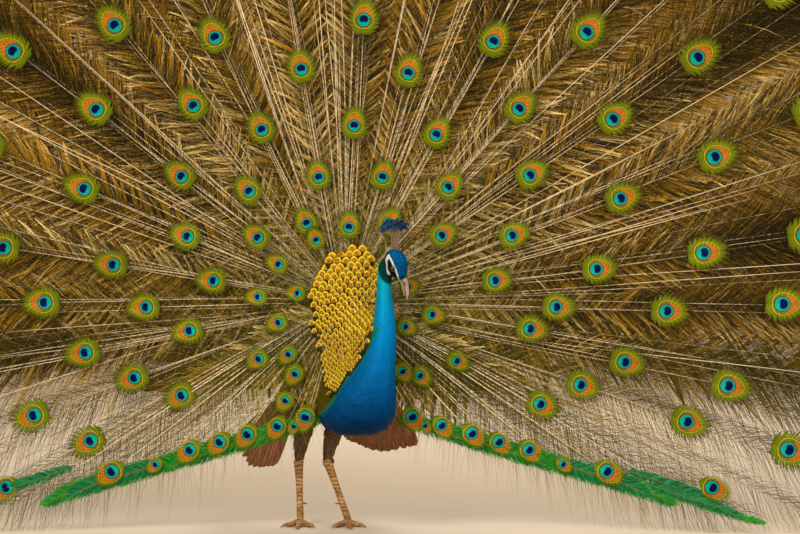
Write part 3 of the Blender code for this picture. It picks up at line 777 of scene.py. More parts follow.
def scattered(mesh, spacing, keep, tries):
    """Points spread evenly over the mesh, with their normals. spacing gives the least distance at each."""
    mesh.calc_loop_triangles()
    corners = np.empty(len(mesh.loop_triangles) * 3, np.int32)
    mesh.loop_triangles.foreach_get("vertices", corners)
    corners = corners.reshape(-1, 3)
    places, normals = vertex_arrays(mesh)
    a, b, c = (places[corners[:, n]] for n in range(3))
    middles = (a + b + c) / 3
    areas = np.linalg.norm(np.cross(b - a, c - a), axis=1) / 2
    gaps = spacing(middles)
    weights = areas / gaps**2 * keep(middles)
    chosen = chance.choice(len(corners), size=tries, p=weights / weights.sum())
    r, s = chance.random((2, tries))
    flip = r + s > 1
    r, s = np.where(flip, 1 - r, r), np.where(flip, 1 - s, s)
    points = a[chosen] + (b - a)[chosen] * r[:, None] + (c - a)[chosen] * s[:, None]
    faces_up = unit(sum(normals[corners[chosen, n]] for n in range(3)))
    gap = gaps[chosen]
    cell = gap.max()
    taken, kept = {}, []
    keys = np.floor(points / cell).astype(int)
    around = [(i, j, k) for i in (-1, 0, 1) for j in (-1, 0, 1) for k in (-1, 0, 1)]
    listed = points.tolist()
    for n, (i, j, k) in enumerate(keys.tolist()):
        px, py, pz = listed[n]
        limit = gap[n] ** 2
        near = (q for di, dj, dk in around for q in taken.get((i + di, j + dj, k + dk), ()))
        if all((px - qx) ** 2 + (py - qy) ** 2 + (pz - qz) ** 2 >= limit for qx, qy, qz in near):
            taken.setdefault((i, j, k), []).append((px, py, pz))
            kept.append(n)
    return points[kept], faces_up[kept]


def leaves(points, normals, ways, lengths, widths, lift, rows=(0.0, 0.35, 0.75, 1.0),
           shape=(0.55, 1.0, 0.78, 0.16), dome=0.16, sink=0.0008, across=3, curl=0.0):
    """Small overlapping feathers: each rises from the skin at its root and lies back along its way.

    Gives corners, faces, and each corner's place across (-1 to 1) and along (0 to 1)."""
    ways = unit(ways - normals * np.sum(ways * normals, axis=1, keepdims=True))
    sides = np.cross(normals, ways)
    rows, shape = np.array(rows), np.array(shape)
    count, n_rows = len(points), len(rows)
    u = np.linspace(-1, 1, across)
    along = lengths[:, None, None] * rows[None, :, None] * np.ones(across)
    wide = widths[:, None, None] / 2 * shape[None, :, None] * u
    rise = -sink + lift[:, None, None] * rows[None, :, None] ** 1.3
    rise = rise + widths[:, None, None] * dome * (1 - u**2) * shape[None, :, None]
    rise = rise - curl * lengths[:, None, None] * rows[None, :, None] ** 3
    along = along - lengths[:, None, None] * 0.05 * u**2 * (rows[None, :, None] > 0.9)
    corners = (
        points[:, None, None, :] + ways[:, None, None, :] * along[..., None]
        + sides[:, None, None, :] * wide[..., None] + normals[:, None, None, :] * rise[..., None]
    )
    plan_x = np.broadcast_to(u, (count, n_rows, across)).reshape(count, -1)
    plan_y = np.broadcast_to(rows[:, None], (count, n_rows, across)).reshape(count, -1)
    return corners.reshape(-1, 3), grid_faces(count, n_rows, across), plan_x, plan_y


def coat_of(points, normals, ways, lengths, widths, lift, third=None, **shape):
    """Leaves ready for a Coat, with their patches and their own plan as values."""
    corners, faces, x, y = leaves(points, normals, ways, lengths, widths, lift, **shape)
    patches = patch_for(body_place(points), x / 2, y)
    third = np.zeros(len(points)) if third is None else third
    values = np.stack((x, y, np.broadcast_to(third[:, None], x.shape)), axis=-1).reshape(-1, 3)
    return corners, faces, patches, values


def body_ways(points):
    """The lie of the body's feathers: from the bill back over the head, down the neck, along the trunk."""
    _, way, _ = spine_terms(points)
    head, hood, thigh = regions(points)
    lie = -way
    lie = lie * (1 - head[:, None]) + -np.array(BILL_AXIS) * head[:, None] * 1.2
    lie = np.where(thigh[:, None] > 0, np.array((0.0, 0.25, -1.0)), lie)
    ones = np.ones(len(points))
    up_and_out = np.stack(((points[:, 0] - 0.02) * 2.6, 0.15 * ones, ones), axis=-1)
    lie = np.where(hood[:, None] > 0, up_and_out, lie)
    return unit(lie + chance.normal(0, 0.07, lie.shape))


def near_stroke(x, y, points, reach):
    """Whether places, in metres, lie within reach of a bent line given in millimetres."""
    near = np.full(len(x), 1e9)
    for (ax, ay), (bx, by) in zip(points, points[1:]):
        ax, ay, dx, dy = ax / 1000, ay / 1000, (bx - ax) / 1000, (by - ay) / 1000
        share = np.clip(((x - ax) * dx + (y - ay) * dy) / (dx * dx + dy * dy), 0, 1)
        near = np.minimum(near, np.hypot(x - ax - share * dx, y - ay - share * dy))
    return near < reach


def make_body_coat(skin):
    """Blue, green and dark feathers over the whole skin apart from the gold front of the hood."""

    def spacing(points):
        head, _, thigh = regions(points)
        gap = 0.0048 - 0.0018 * np.clip((points[:, 2] - 0.36) / 0.18, 0, 1)
        gap = np.where(points[:, 1] > 0.0, 0.0095, gap)
        gap = np.where(thigh > 0, 0.0068, gap)
        return gap * (1 - head) + 0.0022 * head

    def keep(points):
        along, up, side = head_terms(points)
        _, hood, _ = regions(points)
        near_eye = np.hypot(along - EYE_PLACE[0], up - EYE_PLACE[1]) < EYE_RADIUS
        at_bill = (along > 0.033) & (np.hypot(up + 0.006, side) < 0.017)
        bare = near_stroke(along, up, UPPER_STRIPE, 0.0026) | near_stroke(along, up, LOWER_STRIPE, 0.0044)
        bare = bare & (abs(side) > 0.002) & (along > -0.036)
        hidden = (near_eye & (abs(side) > 0.008)) | at_bill | bare
        return ((hood == 0) & ~hidden & ~on_shield(points)) * 1.0

    points, normals = scattered(skin, spacing, keep, 110000)
    head, _, thigh = regions(points)
    gap = spacing(points)
    longer = 2.3 + 0.9 * thigh + 0.5 * (points[:, 1] > 0.03)
    lengths = gap * longer * chance.uniform(0.85, 1.15, len(points))
    widths = gap * (1.75 - 0.55 * thigh) * chance.uniform(0.9, 1.1, len(points))
    lift = np.minimum(coat_depth(points) * 0.9, gap * 0.24) * chance.uniform(0.6, 1.1, len(points))
    lift = lift + thigh * 0.002
    coat = Coat()
    coat.add(*coat_of(points, normals, body_ways(points), lengths, widths, lift, dome=0.12, sink=0.0006))
    return coat.mesh("body_plumage", "spot")


def moved_each_way(grid):
    """The grid moved by one step in each of the four directions."""
    return [np.roll(grid, by, axis) for by, axis in ((1, 0), (-1, 0), (1, 1), (-1, 1))]


def shield_sheet(skin):
    """The shield's surface as seen from the front: depth and normals on a grid. It is drawn tight
    over the hollow between the rump and the trunk, as the real feathers bridge it."""
    tree = BVHTree.FromPolygons([v.co for v in skin.vertices], [tuple(p.vertices) for p in skin.polygons])
    xs, zs = np.arange(-0.104, 0.112, SHIELD_GRID), np.arange(0.292, 0.640, SHIELD_GRID)
    hit_at, inside = np.full((len(xs), len(zs)), np.nan), np.zeros((len(xs), len(zs)), bool)
    for i, x in enumerate(xs):
        for k, z in enumerate(zs):
            hit, normal, _, _ = tree.ray_cast(Vector((x, -0.6, z)), Vector((0, 1, 0)))
            left, right = gold_edges(z)
            if hit is not None and hit.y < 0.02:
                _, hood, _ = regions(np.array(hit)[None])
                hit_at[i, k] = hit.y
                inside[i, k] = hood[0] > 0 and z > 0.44 and normal.y < -0.15
            if 0.298 < z <= 0.452 and left - 0.006 - 0.5 * max(z - 0.425, 0) < x < right + 0.014:
                inside[i, k] = True
    grown = inside.copy()
    for _ in range(4):  # close the small holes
        grown |= np.logical_or.reduce(moved_each_way(grown))
    for _ in range(4):
        grown &= np.logical_and.reduce(moved_each_way(grown))
    inside |= grown & (hit_at < 0.02)
    sheet = np.where(np.isnan(hit_at), -0.06, hit_at)
    limit = np.where(np.isnan(hit_at), 1.0, hit_at)
    soft = (zs > 0.30) & (zs < 0.57)
    inside_there = moved_each_way(inside)
    for _ in range(420):
        around = [np.where(*pair, sheet) for pair in zip(inside_there, moved_each_way(sheet))]
        sheet = np.where(inside & soft[None, :], np.minimum(sum(around) / 4, limit), sheet)
    sheet[~inside] = np.nan
    wide = sheet.copy()
    for _ in range(3):  # carry the edge outwards, so that the last scales lie as their neighbours do
        near = np.stack(moved_each_way(wide))
        count = (~np.isnan(near)).sum(axis=0)
        mean = np.where(count > 0, np.nansum(near, axis=0) / np.maximum(count, 1), np.nan)
        wide = np.where(np.isnan(wide), mean, wide)
    slope_x, slope_z = (np.clip(np.nan_to_num(g), -0.8, 0.8) for g in np.gradient(wide, SHIELD_GRID))
    normals_at = unit(np.stack((slope_x, -np.ones_like(sheet), slope_z), axis=-1))
    return xs, zs, sheet - 0.0005, normals_at


def scale_rows(skin):
    """Rows of scales on the hood's front, larger towards the top: places, normals, ways and sizes."""
    xs, zs, depth, normals_at = shield_sheet(skin)
    foot = (0.030, 0.125)  # the rows fan out from below the trunk
    step, rise = 0.0395, 0.0262
    points, normals, ways, sizes = [], [], [], []
    for row in range(52):
        radius = 0.168 * (1 + rise) ** row
        for column in range(-26, 27):
            angle = math.radians(90) + (column + 0.5 * (row % 2)) * step + float(chance.normal(0, 0.0028))
            x = foot[0] + radius * math.cos(angle) * (1 + float(chance.normal(0, 0.003)))
            z = foot[1] + radius * math.sin(angle) * (1 + float(chance.normal(0, 0.002)))
            i, k = int(round((x - xs[0]) / SHIELD_GRID)), int(round((z - zs[0]) / SHIELD_GRID))
            if not (0 <= i < len(xs) and 0 <= k < len(zs)) or np.isnan(depth[i, k]):
                continue
            if z < 0.500 and x > gold_edges(z)[1] + 0.002:
                continue
            normal = normals_at[i, k]
            aside, above = normal[0] / normal[1] * (x - xs[i]), normal[2] / normal[1] * (z - zs[k])
            points.append((x, depth[i, k] - aside - above, z))
            normals.append(normal)
            ways.append((math.cos(angle), 0.0, math.sin(angle)))
            sizes.append(radius * step * float(np.clip(1 + 0.5 * (1 / abs(normal[1]) - 1), 1, 1.5)))
    return [np.array(gathered) for gathered in (points, normals, ways, sizes)]


def make_gold_scales(skin):
    """Rows of gold scales on the hood, and their continuation on its back."""

    def spacing(places):
        return 0.0100 + 0.0045 * np.clip((places[:, 2] - 0.42) / 0.2, 0, 1)

    def keep(places):
        _, hood, _ = regions(places)
        low_side = (places[:, 0] < -0.045) & (places[:, 2] < 0.485)
        return hood * (places[:, 1] > -0.066) * ~low_side

    points, normals, ways, sizes = scale_rows(skin)
    more, more_normals = scattered(skin, spacing, keep, 6000)
    points = np.concatenate((points, more))
    normals = np.concatenate((normals, more_normals))
    ways = np.concatenate((ways, body_ways(more)))
    sizes = np.concatenate((sizes, spacing(more)))
    jitter = chance.uniform(0.94, 1.08, len(points))
    copper = np.clip((points[:, 2] - 0.50) / 0.13, 0, 1) * 0.9
    copper += np.clip(np.abs(points[:, 0] - 0.02) / 0.09 - 0.75, 0, 1)
    lengths, widths, lift = sizes * 1.75 * jitter, sizes * 1.22 * jitter, sizes * 0.26
    coat = Coat()
    coat.add(
        *coat_of(
            points, normals, ways, lengths, widths, lift, np.clip(copper, 0, 1),
            rows=(0.0, 0.36, 0.66, 0.79, 0.90, 0.96, 1.0), shape=(0.80, 1.0, 1.0, 0.92, 0.70, 0.45, 0.10),
            dome=0.13, sink=0.0012, across=5, curl=0.02,
        )
    )
    return coat.mesh("gold_scales", "spot")


# ---------------------------------------------------------------- train


def lower_edge(x):
    """Height of the train's lower edge."""
    return np.maximum(EDGE_HEIGHT * (1 - np.abs(x) / EDGE_REACH) - 0.004 - 0.020 * (x < 0), 0.0) + 0.012


def feather_line(radius, angle, reach, bow, layer):
    """Points of a train feather's quill at these distances from the hub, on the dish."""
    turn = angle + bow * (1 - radius / reach) ** 2
    forward = TRAIN_CUP * (radius / TRAIN_LENGTH) ** 2
    return FAN_HUB + np.stack((radius * np.cos(turn), layer - forward, radius * np.sin(turn)), axis=-1)


def column_angle(column):
    """Direction of a column of eyespots. They stand closer together towards the ground."""
    apart, low = (13.1, 9.0) if column > 0 else (14.0, 9.4)
    near = min(abs(column), 6)
    return math.radians(87.0 - math.copysign(near * apart + (abs(column) - near) * low, column))


def train_plan():
    """Every train feather: (angle, reach, eyespot size or 0, bow, layer, low share). Columns of eyespots,
    every second one in step; a few short ones beside the body; the notched feathers of the rim; and the
    long-quilled row that ends in eyespots just above the lower edge."""
    feathers = []
    rings = (0.174, 0.286, 0.404, 0.530, 0.640, 0.762, 0.868, 0.985, 1.095, 1.200, 1.300)
    for column in range(-12, 13):
        for ring in range(column % 2, len(rings), 2):
            angle = column_angle(column) + float(chance.normal(0, 0.016))
            wider = (0.0145 if column > 0 else 0.0112) * abs(column) ** 1.36
            radius = min((rings[ring] + wider) * (1 + float(chance.normal(0, 0.010))), 1.315)
            size = 0.0158 + 0.0132 * (radius / 1.2) ** 0.8
            x, z = radius * math.cos(angle), FAN_HUB[2] + radius * math.sin(angle)
            if z < float(lower_edge(np.array(x))) + 0.080 + size or (z < 0.44 and -0.09 < x < 0.135):
                continue
            if z < 0.62 and -0.12 < x < 0.12:
                continue
            if radius > 1.30 and ring < len(rings) - 1:
                continue
            bow = float(chance.normal(0, 0.050))
            feathers.append((angle, radius, size, bow, 0.002 + 0.016 * radius, 0.0))
    for degrees, radius, size in SHORT_ONES:
        feathers.append((math.radians(degrees), radius, size, 0.0, 0.004, 0.0))
    for n in range(52):
        angle = math.radians(-24 + n * 228 / 51) + float(chance.normal(0, 0.008))
        reach = TIP_RADIUS - float(chance.uniform(0.0, 0.02))
        down = -math.sin(angle)
        if down > 0:
            reach = min(reach, (FAN_HUB[2] - 0.03) / down)
        feathers.append((angle, reach, 0.0, float(chance.normal(0, 0.035)), 0.026, 0.0))
    for side in (-1.0, 1.0):
        row = [(out, size, True) for out, size in LOW_ROW]
        row += [(0.105 + 0.052 * n + float(chance.uniform(-0.01, 0.01)), 0.008, False) for n in range(15)]
        for n, (out, size, spotted) in enumerate(row):
            x = LOW_MIDDLE + side * out
            above = size * 1.12 + 0.010 + 0.034 * (out > 0.7) if spotted else 0.030
            z = float(lower_edge(np.array(x))) + above
            angle = math.atan2(z - FAN_HUB[2], x)
            angle += 2 * math.pi * (angle < -math.pi / 2)
            reach = math.hypot(x, z - FAN_HUB[2])
            feathers.append((angle, reach, size * spotted, side * 0.10, 0.0015 * (n % 3), 1.0))
    return feathers


# Short eyespots round the shield and beside the breast: degrees, distance from the hub, size.
SHORT_ONES = (
    (169, 0.112, 0.0140), (150, 0.176, 0.0160), (197, 0.160, 0.0155), (213, 0.236, 0.0165),
    (235, 0.200, 0.0160), (222, 0.176, 0.0150), (239, 0.262, 0.0150), (114, 0.158, 0.0150),
    (-22, 0.150, 0.0145), (-8, 0.202, 0.0165), (-44, 0.240, 0.0165), (-50, 0.206, 0.0155),
    (14, 0.150, 0.0140), (-27, 0.288, 0.0170), (177, 0.200, 0.0150),
)
# The row of eyespots over the lower edge: distance from the breast's middle, and size.
LOW_MIDDLE = 0.033
LOW_ROW = (
    (0.122, 0.0215), (0.149, 0.0120), (0.187, 0.0200), (0.256, 0.0215), (0.317, 0.0210),
    (0.384, 0.0215), (0.459, 0.0140), (0.558, 0.0240), (0.790, 0.0240),
)


def facing(tangents):
    """The way that looks most to the front, square to the tangents."""
    return unit(np.cross(tangents, np.cross(FRONT, tangents)))


def sweep(tangents, roots, side, spread, length, forward, droop, width, twist, lateral):
    """Barbs from roots on a quill. spread is their angle from it, and forward how they bend along it."""
    normal = facing(tangents)
    across = np.cross(normal, tangents) * side
    u = np.linspace(0, 1, BARB_POINTS)[None, :, None]
    long_, out = (length * np.cos(spread))[:, None, None], (length * np.sin(spread))[:, None, None]
    bend = (length * forward)[:, None, None]
    curve = (
        roots[:, None, :] + tangents[:, None, :] * (long_ * u + bend * u**2)
        + across[:, None, :] * (out * u - np.abs(bend) * 0.5 * u**2)
        + normal[:, None, :] * (length * lateral)[:, None, None] * u * (1.2 - u)
    )
    curve[..., 2] -= (length * droop)[:, None] * u[..., 0] ** 2
    ways = unit(np.gradient(curve, axis=1))
    flat = unit(np.cross(normal[:, None, :], ways))
    lean = np.cos(twist)[:, None, None] * flat + np.sin(twist)[:, None, None] * normal[:, None, :]
    halves = lean * (width / 2)[:, None, None] * (1 - 0.82 * u**1.6)
    return curve, halves


def streaks(points):
    """Soft dark and light streaks that run out along the train."""
    away = points - FAN_HUB
    angle = np.arctan2(away[:, 2], away[:, 0])
    far = np.hypot(away[:, 0], away[:, 2])
    wave = 0.5 * np.sin(angle * 17 + 1.3 + 1.5 * np.sin(far * 7)) + 0.35 * np.sin(angle * 41 + far * 11)
    return wave + 0.45 * np.sin(angle * 5.3 + far * 5.1 + 0.8)


def feathers_beyond(feathers, radius):
    """How many feathers reach past each radius."""
    reaches = np.array([f[1] for f in feathers])
    return np.maximum((reaches[:, None] > radius[None, :]).sum(axis=0), 8)


BARB_LAYERS = (  # cover, width, tone and how much it varies, how far behind the quill
    (1.6, 0.00070, 0.07, 0.12, -0.0008),  # thin and dark, in front
    (1.15, 0.0013, 0.62, 0.18, 0.0048),
    # The broad golden layer is painted light: barbs painted bright for a lit glow behind the feathers, bright
    # enough to outweigh the shade that the front layers cast on them.
    (4.4, 0.0100, 0.80, 0.06, 0.0092),  # broad and golden
    (4.8, 0.0130, 0.50, 0.16, 0.0135),  # broad and drab
)
DEEP, DRAB = 0.008, 0.012  # how far behind the quills the broad layers begin, and the drab one
RIM_LIMIT, FRONT_LIMIT, FLOOR_LIMIT = 1.452, -0.256, 0.003  # the barbs stay within these


def cover_along(here, behind):
    """How much of a layer there is along a quill: less towards the floor, but more close beside the body."""
    height, aside = here[:, 2], np.abs(here[:, 0] - 0.03)
    if behind > DEEP:
        ragged = 0.33 if behind < DRAB else 0.29
        shown = np.clip((height - ragged - 0.07 * abs(chance.normal())) / 0.12, 0, 1)
        beside = np.clip(1 - (aside - 0.09) / 0.30, 0, 1) * (aside > 0.09)
        return np.maximum(shown, 0.8 * (beside * np.clip((height - 0.25) / 0.05, 0, 1)))
    beside = np.clip(1 - (aside - 0.12) / 0.25, 0, 1)
    return np.maximum(np.clip((height - 0.19) / 0.20, 0, 1), beside * 0.75)


def barb_colours(roots, spots, near, tone, varies, behind):
    """Each barb's tone and green share, from its distance from the hub and its nearness to an eyespot, with
    painted light on the broad layers.
    """
    count, rear, deep = len(roots), behind > 0, behind > DEEP
    by_eyespot = np.clip(near * 1.6 - 0.6, 0, 1)
    inner = np.exp(-((spots / 0.30) ** 2))
    painted_side_light = 1.2 - 0.3 * (roots[:, 0] < 0)
    tone = tone + 0.13 * streaks(roots) + chance.normal(0, varies, count)
    tone = tone + 0.07 * chance.normal() + 0.26 * (not rear) * np.clip((0.44 - roots[:, 2]) / 0.12, 0, 1)
    # Painted light: the broad layers are painted brighter near the hub, and more at +x than at -x.
    tone = tone + 0.16 * inner * (not rear) + 0.20 * deep * np.exp(-((spots / 0.62) ** 2)) * painted_side_light
    tone = tone + 0.12 * by_eyespot * (not rear)
    green = by_eyespot * 0.9 + 0.12 + 0.55 * np.clip(0.15 - (roots[:, 2] - FAN_HUB[2]), 0, 0.6) + 0.62 * inner
    green = np.clip(green + chance.normal(0, 0.08, count) - 0.15 * rear, 0, 1) * (0.3 if deep else 1.0)
    return tone, np.full(count, -1.0) if behind > DRAB else green


def side_barbs(feather, barb_layer, side, spots, length):
    """One side's barbs of a feather, rooted at the spots: curves, half widths, tones, green shares and
    directions from the hub."""
    angle, reach, size, bow, layer, _ = feather
    _, width, tone, varies, behind = barb_layer
    rear, deep, count, end = behind > 0, behind > DEEP, len(spots), reach - size * 0.5
    roots = feather_line(spots, angle, reach, bow, layer)
    ahead = feather_line(np.minimum(spots + 0.004, reach + 0.1), angle, reach, bow, layer)
    tangents = unit(ahead - roots)
    near = np.clip((spots - (end - 0.12)) / 0.12, 0, 1) if size else np.zeros(count)
    length = length * chance.uniform(0.75, 1.2, count)
    length *= 1 - 0.35 * near
    length = np.minimum(length, np.maximum(0.012, (TIP_RADIUS + 0.02 - spots) * 1.6))
    opening = 58 - 14 * np.clip(spots, 0, 1) - 14 * near
    spread = np.radians(opening + chance.normal(0, 5 if deep else 8, count))
    hanging = np.clip((0.46 - roots[:, 2]) / 0.20, 0, 1) * (0.5 if rear else 1.0)
    droop = np.abs(chance.normal(0.05, 0.07, count)) + 0.55 * hanging * chance.uniform(0.5, 1.4, count)
    forward = chance.normal(0.10 + 0.12 * near, 0.13, count)
    twist = chance.normal(0, 0.05 if deep else 0.4, count)
    lateral = chance.normal(-0.02, 0.05, count) * (not deep)
    offset = np.zeros((count, 3))
    offset[:, 1] = behind + chance.uniform(-0.001, 0.001, count)
    widths = width * chance.uniform(0.75, 1.3, count)
    curve, halves = sweep(
        tangents, roots + offset, side, spread, length, forward, droop, widths, twist, lateral
    )
    tones, greens = barb_colours(roots, spots, near, tone, varies, behind)
    reached = np.hypot(curve[..., 0], curve[..., 2] - FAN_HUB[2])
    inward = np.minimum(1.0, (RIM_LIMIT + 0.01 * np.sin(spots * 900.0))[:, None] / reached)
    curve[..., 0] *= inward
    curve[..., 2] = FAN_HUB[2] + (curve[..., 2] - FAN_HUB[2]) * inward
    curve[..., 1] = np.maximum(curve[..., 1], FRONT_LIMIT)
    away = roots - FAN_HUB
    hub_angle = np.arctan2(away[:, 2], away[:, 0])
    hub_angle = np.where(hub_angle < -math.pi / 2, hub_angle + 2 * math.pi, hub_angle)
    return curve, halves, tones, greens, hub_angle


def make_barbs(feathers):
    """The loose barbs of every train feather, in four layers. Only the long feathers and the low ones
    have the two broad layers."""
    radii = np.linspace(0.05, TIP_RADIUS, 280)
    long_or_low = [f for f in feathers if f[1] > 0.72 or math.sin(f[0]) < -0.25]
    sets = []
    for barb_layer in BARB_LAYERS:
        cover, width, _, _, behind = barb_layer
        layer_of = long_or_low if behind > DEEP else feathers
        beyond = feathers_beyond(layer_of, radii)
        for feather in layer_of:
            angle, reach, size, bow, layer, low = feather
            begin = 0.050 if abs(math.degrees(angle) - 90) > 60 else 0.085
            end = reach - size * 0.5
            if end - begin < 0.03:
                continue
            span = np.linspace(begin, end, 240)
            length_at = (0.056 + 0.068 * np.clip(span / 1.1, 0, 1)) * (1.0 if not low else 0.85)
            density = cover * 4.75 * span / (2 * np.interp(span, radii, beyond) * length_at * width)
            density = density * (1 + (2.0 if behind > DEEP else 0.3) * np.exp(-((span / 0.28) ** 2)))
            density = np.minimum(density, 0.9 / width)
            shown = cover_along(feather_line(span, angle, reach, bow, layer), behind)
            density = density * (shown**1.8 if behind > 0 else 0.45 + 0.55 * shown)
            total = np.concatenate(((0.0,), np.cumsum((density[1:] + density[:-1]) / 2 * np.diff(span))))
            count = int(total[-1])
            if count < 2:
                continue
            for side in (-1.0, 1.0):
                spots = np.interp(np.arange(count) + chance.uniform(0.1, 0.9, count), total, span)
                sets.append(side_barbs(feather, barb_layer, side, spots, np.interp(spots, span, length_at)))
    return sets


def joined_barbs(sets, share, shares):
    """One part of the train, the barbs between two directions from the hub, as a Coat."""
    every = np.sort(np.concatenate([np.repeat(s[4], s[0].shape[1] - 1) for s in sets]))
    low = every[int(len(every) * share / shares)] if share else -9.0
    high = every[int(len(every) * (share + 1) / shares)] if share + 1 < shares else 9.0
    coat = Coat()
    curves, halves, tones, greens, angles = (np.concatenate([s[n] for s in sets]) for n in range(5))
    here = (angles >= low) & (angles < high)
    curves[..., 2] = np.maximum(curves[..., 2], FLOOR_LIMIT)
    coat.add(*barbs_of(curves[here], halves[here], tones[here], greens[here]))
    return coat


def barbs_of(curves, halves, tones, seconds):
    """Barbs ready for a Coat, with their patches and their values (tone, second, place along)."""
    corners, faces = strips(curves, halves)
    steps = curves.shape[1]
    across = np.tile((-0.5, 0.5), (len(curves), steps))
    along = np.repeat(np.tile(np.linspace(0, 1, steps), (len(curves), 1)), 2, axis=1)
    values = np.stack((tones[:, None] + 0.12 * (along - 0.4), seconds[:, None] + 0 * along, along), axis=-1)
    return corners, faces, patch_for(fan_place(curves[:, 0]), across, along), values.reshape(-1, 3)


def make_quills(feathers):
    """Five-sided tapering quills with a ridge to the front. Bare ones stand between the feathers' own."""
    coat, steps = Coat(), 26
    ring = np.array(((1, 0), (0.35, -1), (-0.35, -1), (-1, 0), (0, 0.7)))
    bare = []
    for layer in [0.017] * 130 + [0.042] * 90:
        angle = math.radians(chance.uniform(-38, 218))
        reach = float(chance.uniform(0.42, 1.25))
        bare.append((angle, reach, 0.0, float(chance.normal(0, 0.07)), layer, 0.0))
    sides = len(ring)
    base, corner = (np.arange(steps - 1) * sides)[:, None], np.arange(sides)[None, :]
    after = (corner + 1) % sides
    quads = np.stack((base + corner, base + after, base + sides + after, base + sides + corner), axis=-1)
    quads = quads.reshape(-1, 4)
    for angle, reach, size, bow, layer, low in feathers + bare:
        down = -math.sin(angle)
        if down > 0 and not low:
            reach = min(reach, (FAN_HUB[2] - 0.16) / down)
        span = np.linspace(0.03, reach + size * 0.5, steps)
        line = feather_line(span, angle, reach, bow, layer)
        tangents = unit(np.gradient(line, axis=0))
        normal = facing(tangents)
        across = np.cross(normal, tangents)
        share = span / span[-1]
        radius = (0.0013 + 0.0005 * low) * (1 - 0.42 * share**1.5) * np.clip(span / 0.30, 0.35, 1)
        shape = (
            line[:, None, :] + across[:, None, :] * ring[None, :, 0, None] * radius[:, None, None]
            + normal[:, None, :] * ring[None, :, 1, None] * radius[:, None, None] * 0.8
        )
        values = np.zeros((steps, sides, 3))
        values[..., 2] = share[:, None]
        coat.add(shape.reshape(-1, 3), quads, fan_place(shape).reshape(-1, 2), values.reshape(-1, 3))
    return coat.mesh("train_quills", "lie")


def eyespot_vane(size, centre, along, across, normal, reach):
    """One ocellus: barbs that leave the quill below it and close round it, side by side. Their plan is in
    units of the gold ring's half width."""
    stretch, barbs = 1.03, EYESPOT_BARBS
    starts = np.linspace(-1.55, 0.98, barbs + 1)
    u = np.linspace(0, 1, 7)
    sheets = []
    for side in (-1.0, 1.0):
        out = []
        for k, y0 in enumerate(starts):
            share = k / barbs
            tip_angle = math.radians(-62 + 150 * share)  # where on the rim the barb ends
            rim = reach + 0.20 * math.sin(k * 2.4) * (reach - 1.0) * 2 + 0.16 * share
            end = np.array((rim * math.cos(tip_angle) * 0.93, rim * math.sin(tip_angle) * 1.05 + 0.10))
            begin = np.array((0.0, y0))
            middle = np.array((end[0] * 0.62, begin[1] * 0.45 + end[1] * 0.55 - 0.16 * (1 - share)))
            bend = (1 - u)[:, None] ** 2 * begin + 2 * ((1 - u) * u)[:, None] * middle + u[:, None] ** 2 * end
            out.append(bend)
        out = np.array(out)  # barbs + 1, points, 2
        left, right = out[:-1].copy(), out[1:].copy()
        middle = (left + right) / 2
        close = np.where(u < 0.60, 1.0, 0.86 * (1.0 - (u - 0.60) / 0.40) ** 1.3 + 0.14)[None, :, None]
        left, right = middle + (left - middle) * close, middle + (right - middle) * close
        plan = np.stack((left, right), axis=2)  # barbs, points, 2 edges, 2
        plan[..., 0] *= side
        ribs = np.broadcast_to(np.arange(barbs)[:, None, None], plan.shape[:3])
        rise = 0.10 * np.sin(np.clip(np.abs(plan[..., 0]), 0, 1.5) * 1.4) + 0.012 * (ribs % 2)
        bowl = -0.06 * (plan[..., 0] ** 2 + plan[..., 1] ** 2)
        place = (
            centre + across * (plan[..., 0] * size)[..., None]
            + along * (plan[..., 1] * size * stretch)[..., None] + normal * ((rise + bowl) * size)[..., None]
        )
        edge_share = np.broadcast_to(np.array((0.0, 1.0)), plan.shape[:3])
        sheets.append((place, plan, (ribs + edge_share)))
    return sheets


def make_eyespots(feathers):
    """All ocelli, in front of the barbs. Each has its own cell of the bake map, for its rings."""
    coat, cells = Coat(), 15
    wanted = []
    for angle, reach, size, bow, layer, low in feathers:
        if size:
            here = feather_line(np.array((reach - 0.003, reach, reach + 0.003)), angle, reach, bow, layer)
            wanted.append((here[1], unit(here[2] - here[0]), size, 1.26 if low else 1.70))
    for n, (centre, along, size, rim) in enumerate(wanted):
        normal = facing(along)
        tilt = unit(normal + chance.normal(0, 0.10, 3))
        across = unit(np.cross(tilt, along))
        normal = np.cross(along, across)
        if normal[1] > 0:
            normal, across = -normal, -across
        place = centre + normal * (0.011 + 0.0012 * (n % 5))
        cell = np.array(((n % cells + 0.5) / cells, (n // cells + 0.5) / cells))
        for sheet, plan, ribs in eyespot_vane(size, place, along, across, normal, rim):
            patches = cell + plan.reshape(-1, 2) * (0.29 / cells)
            values = np.concatenate((plan.reshape(-1, 2), ribs.reshape(-1, 1) / EYESPOT_BARBS), axis=1)
            coat.add(sheet.reshape(-1, 3), grid_faces(*sheet.shape[:2], 2), patches, values)
    return coat.mesh("train_eyespots", "spot")


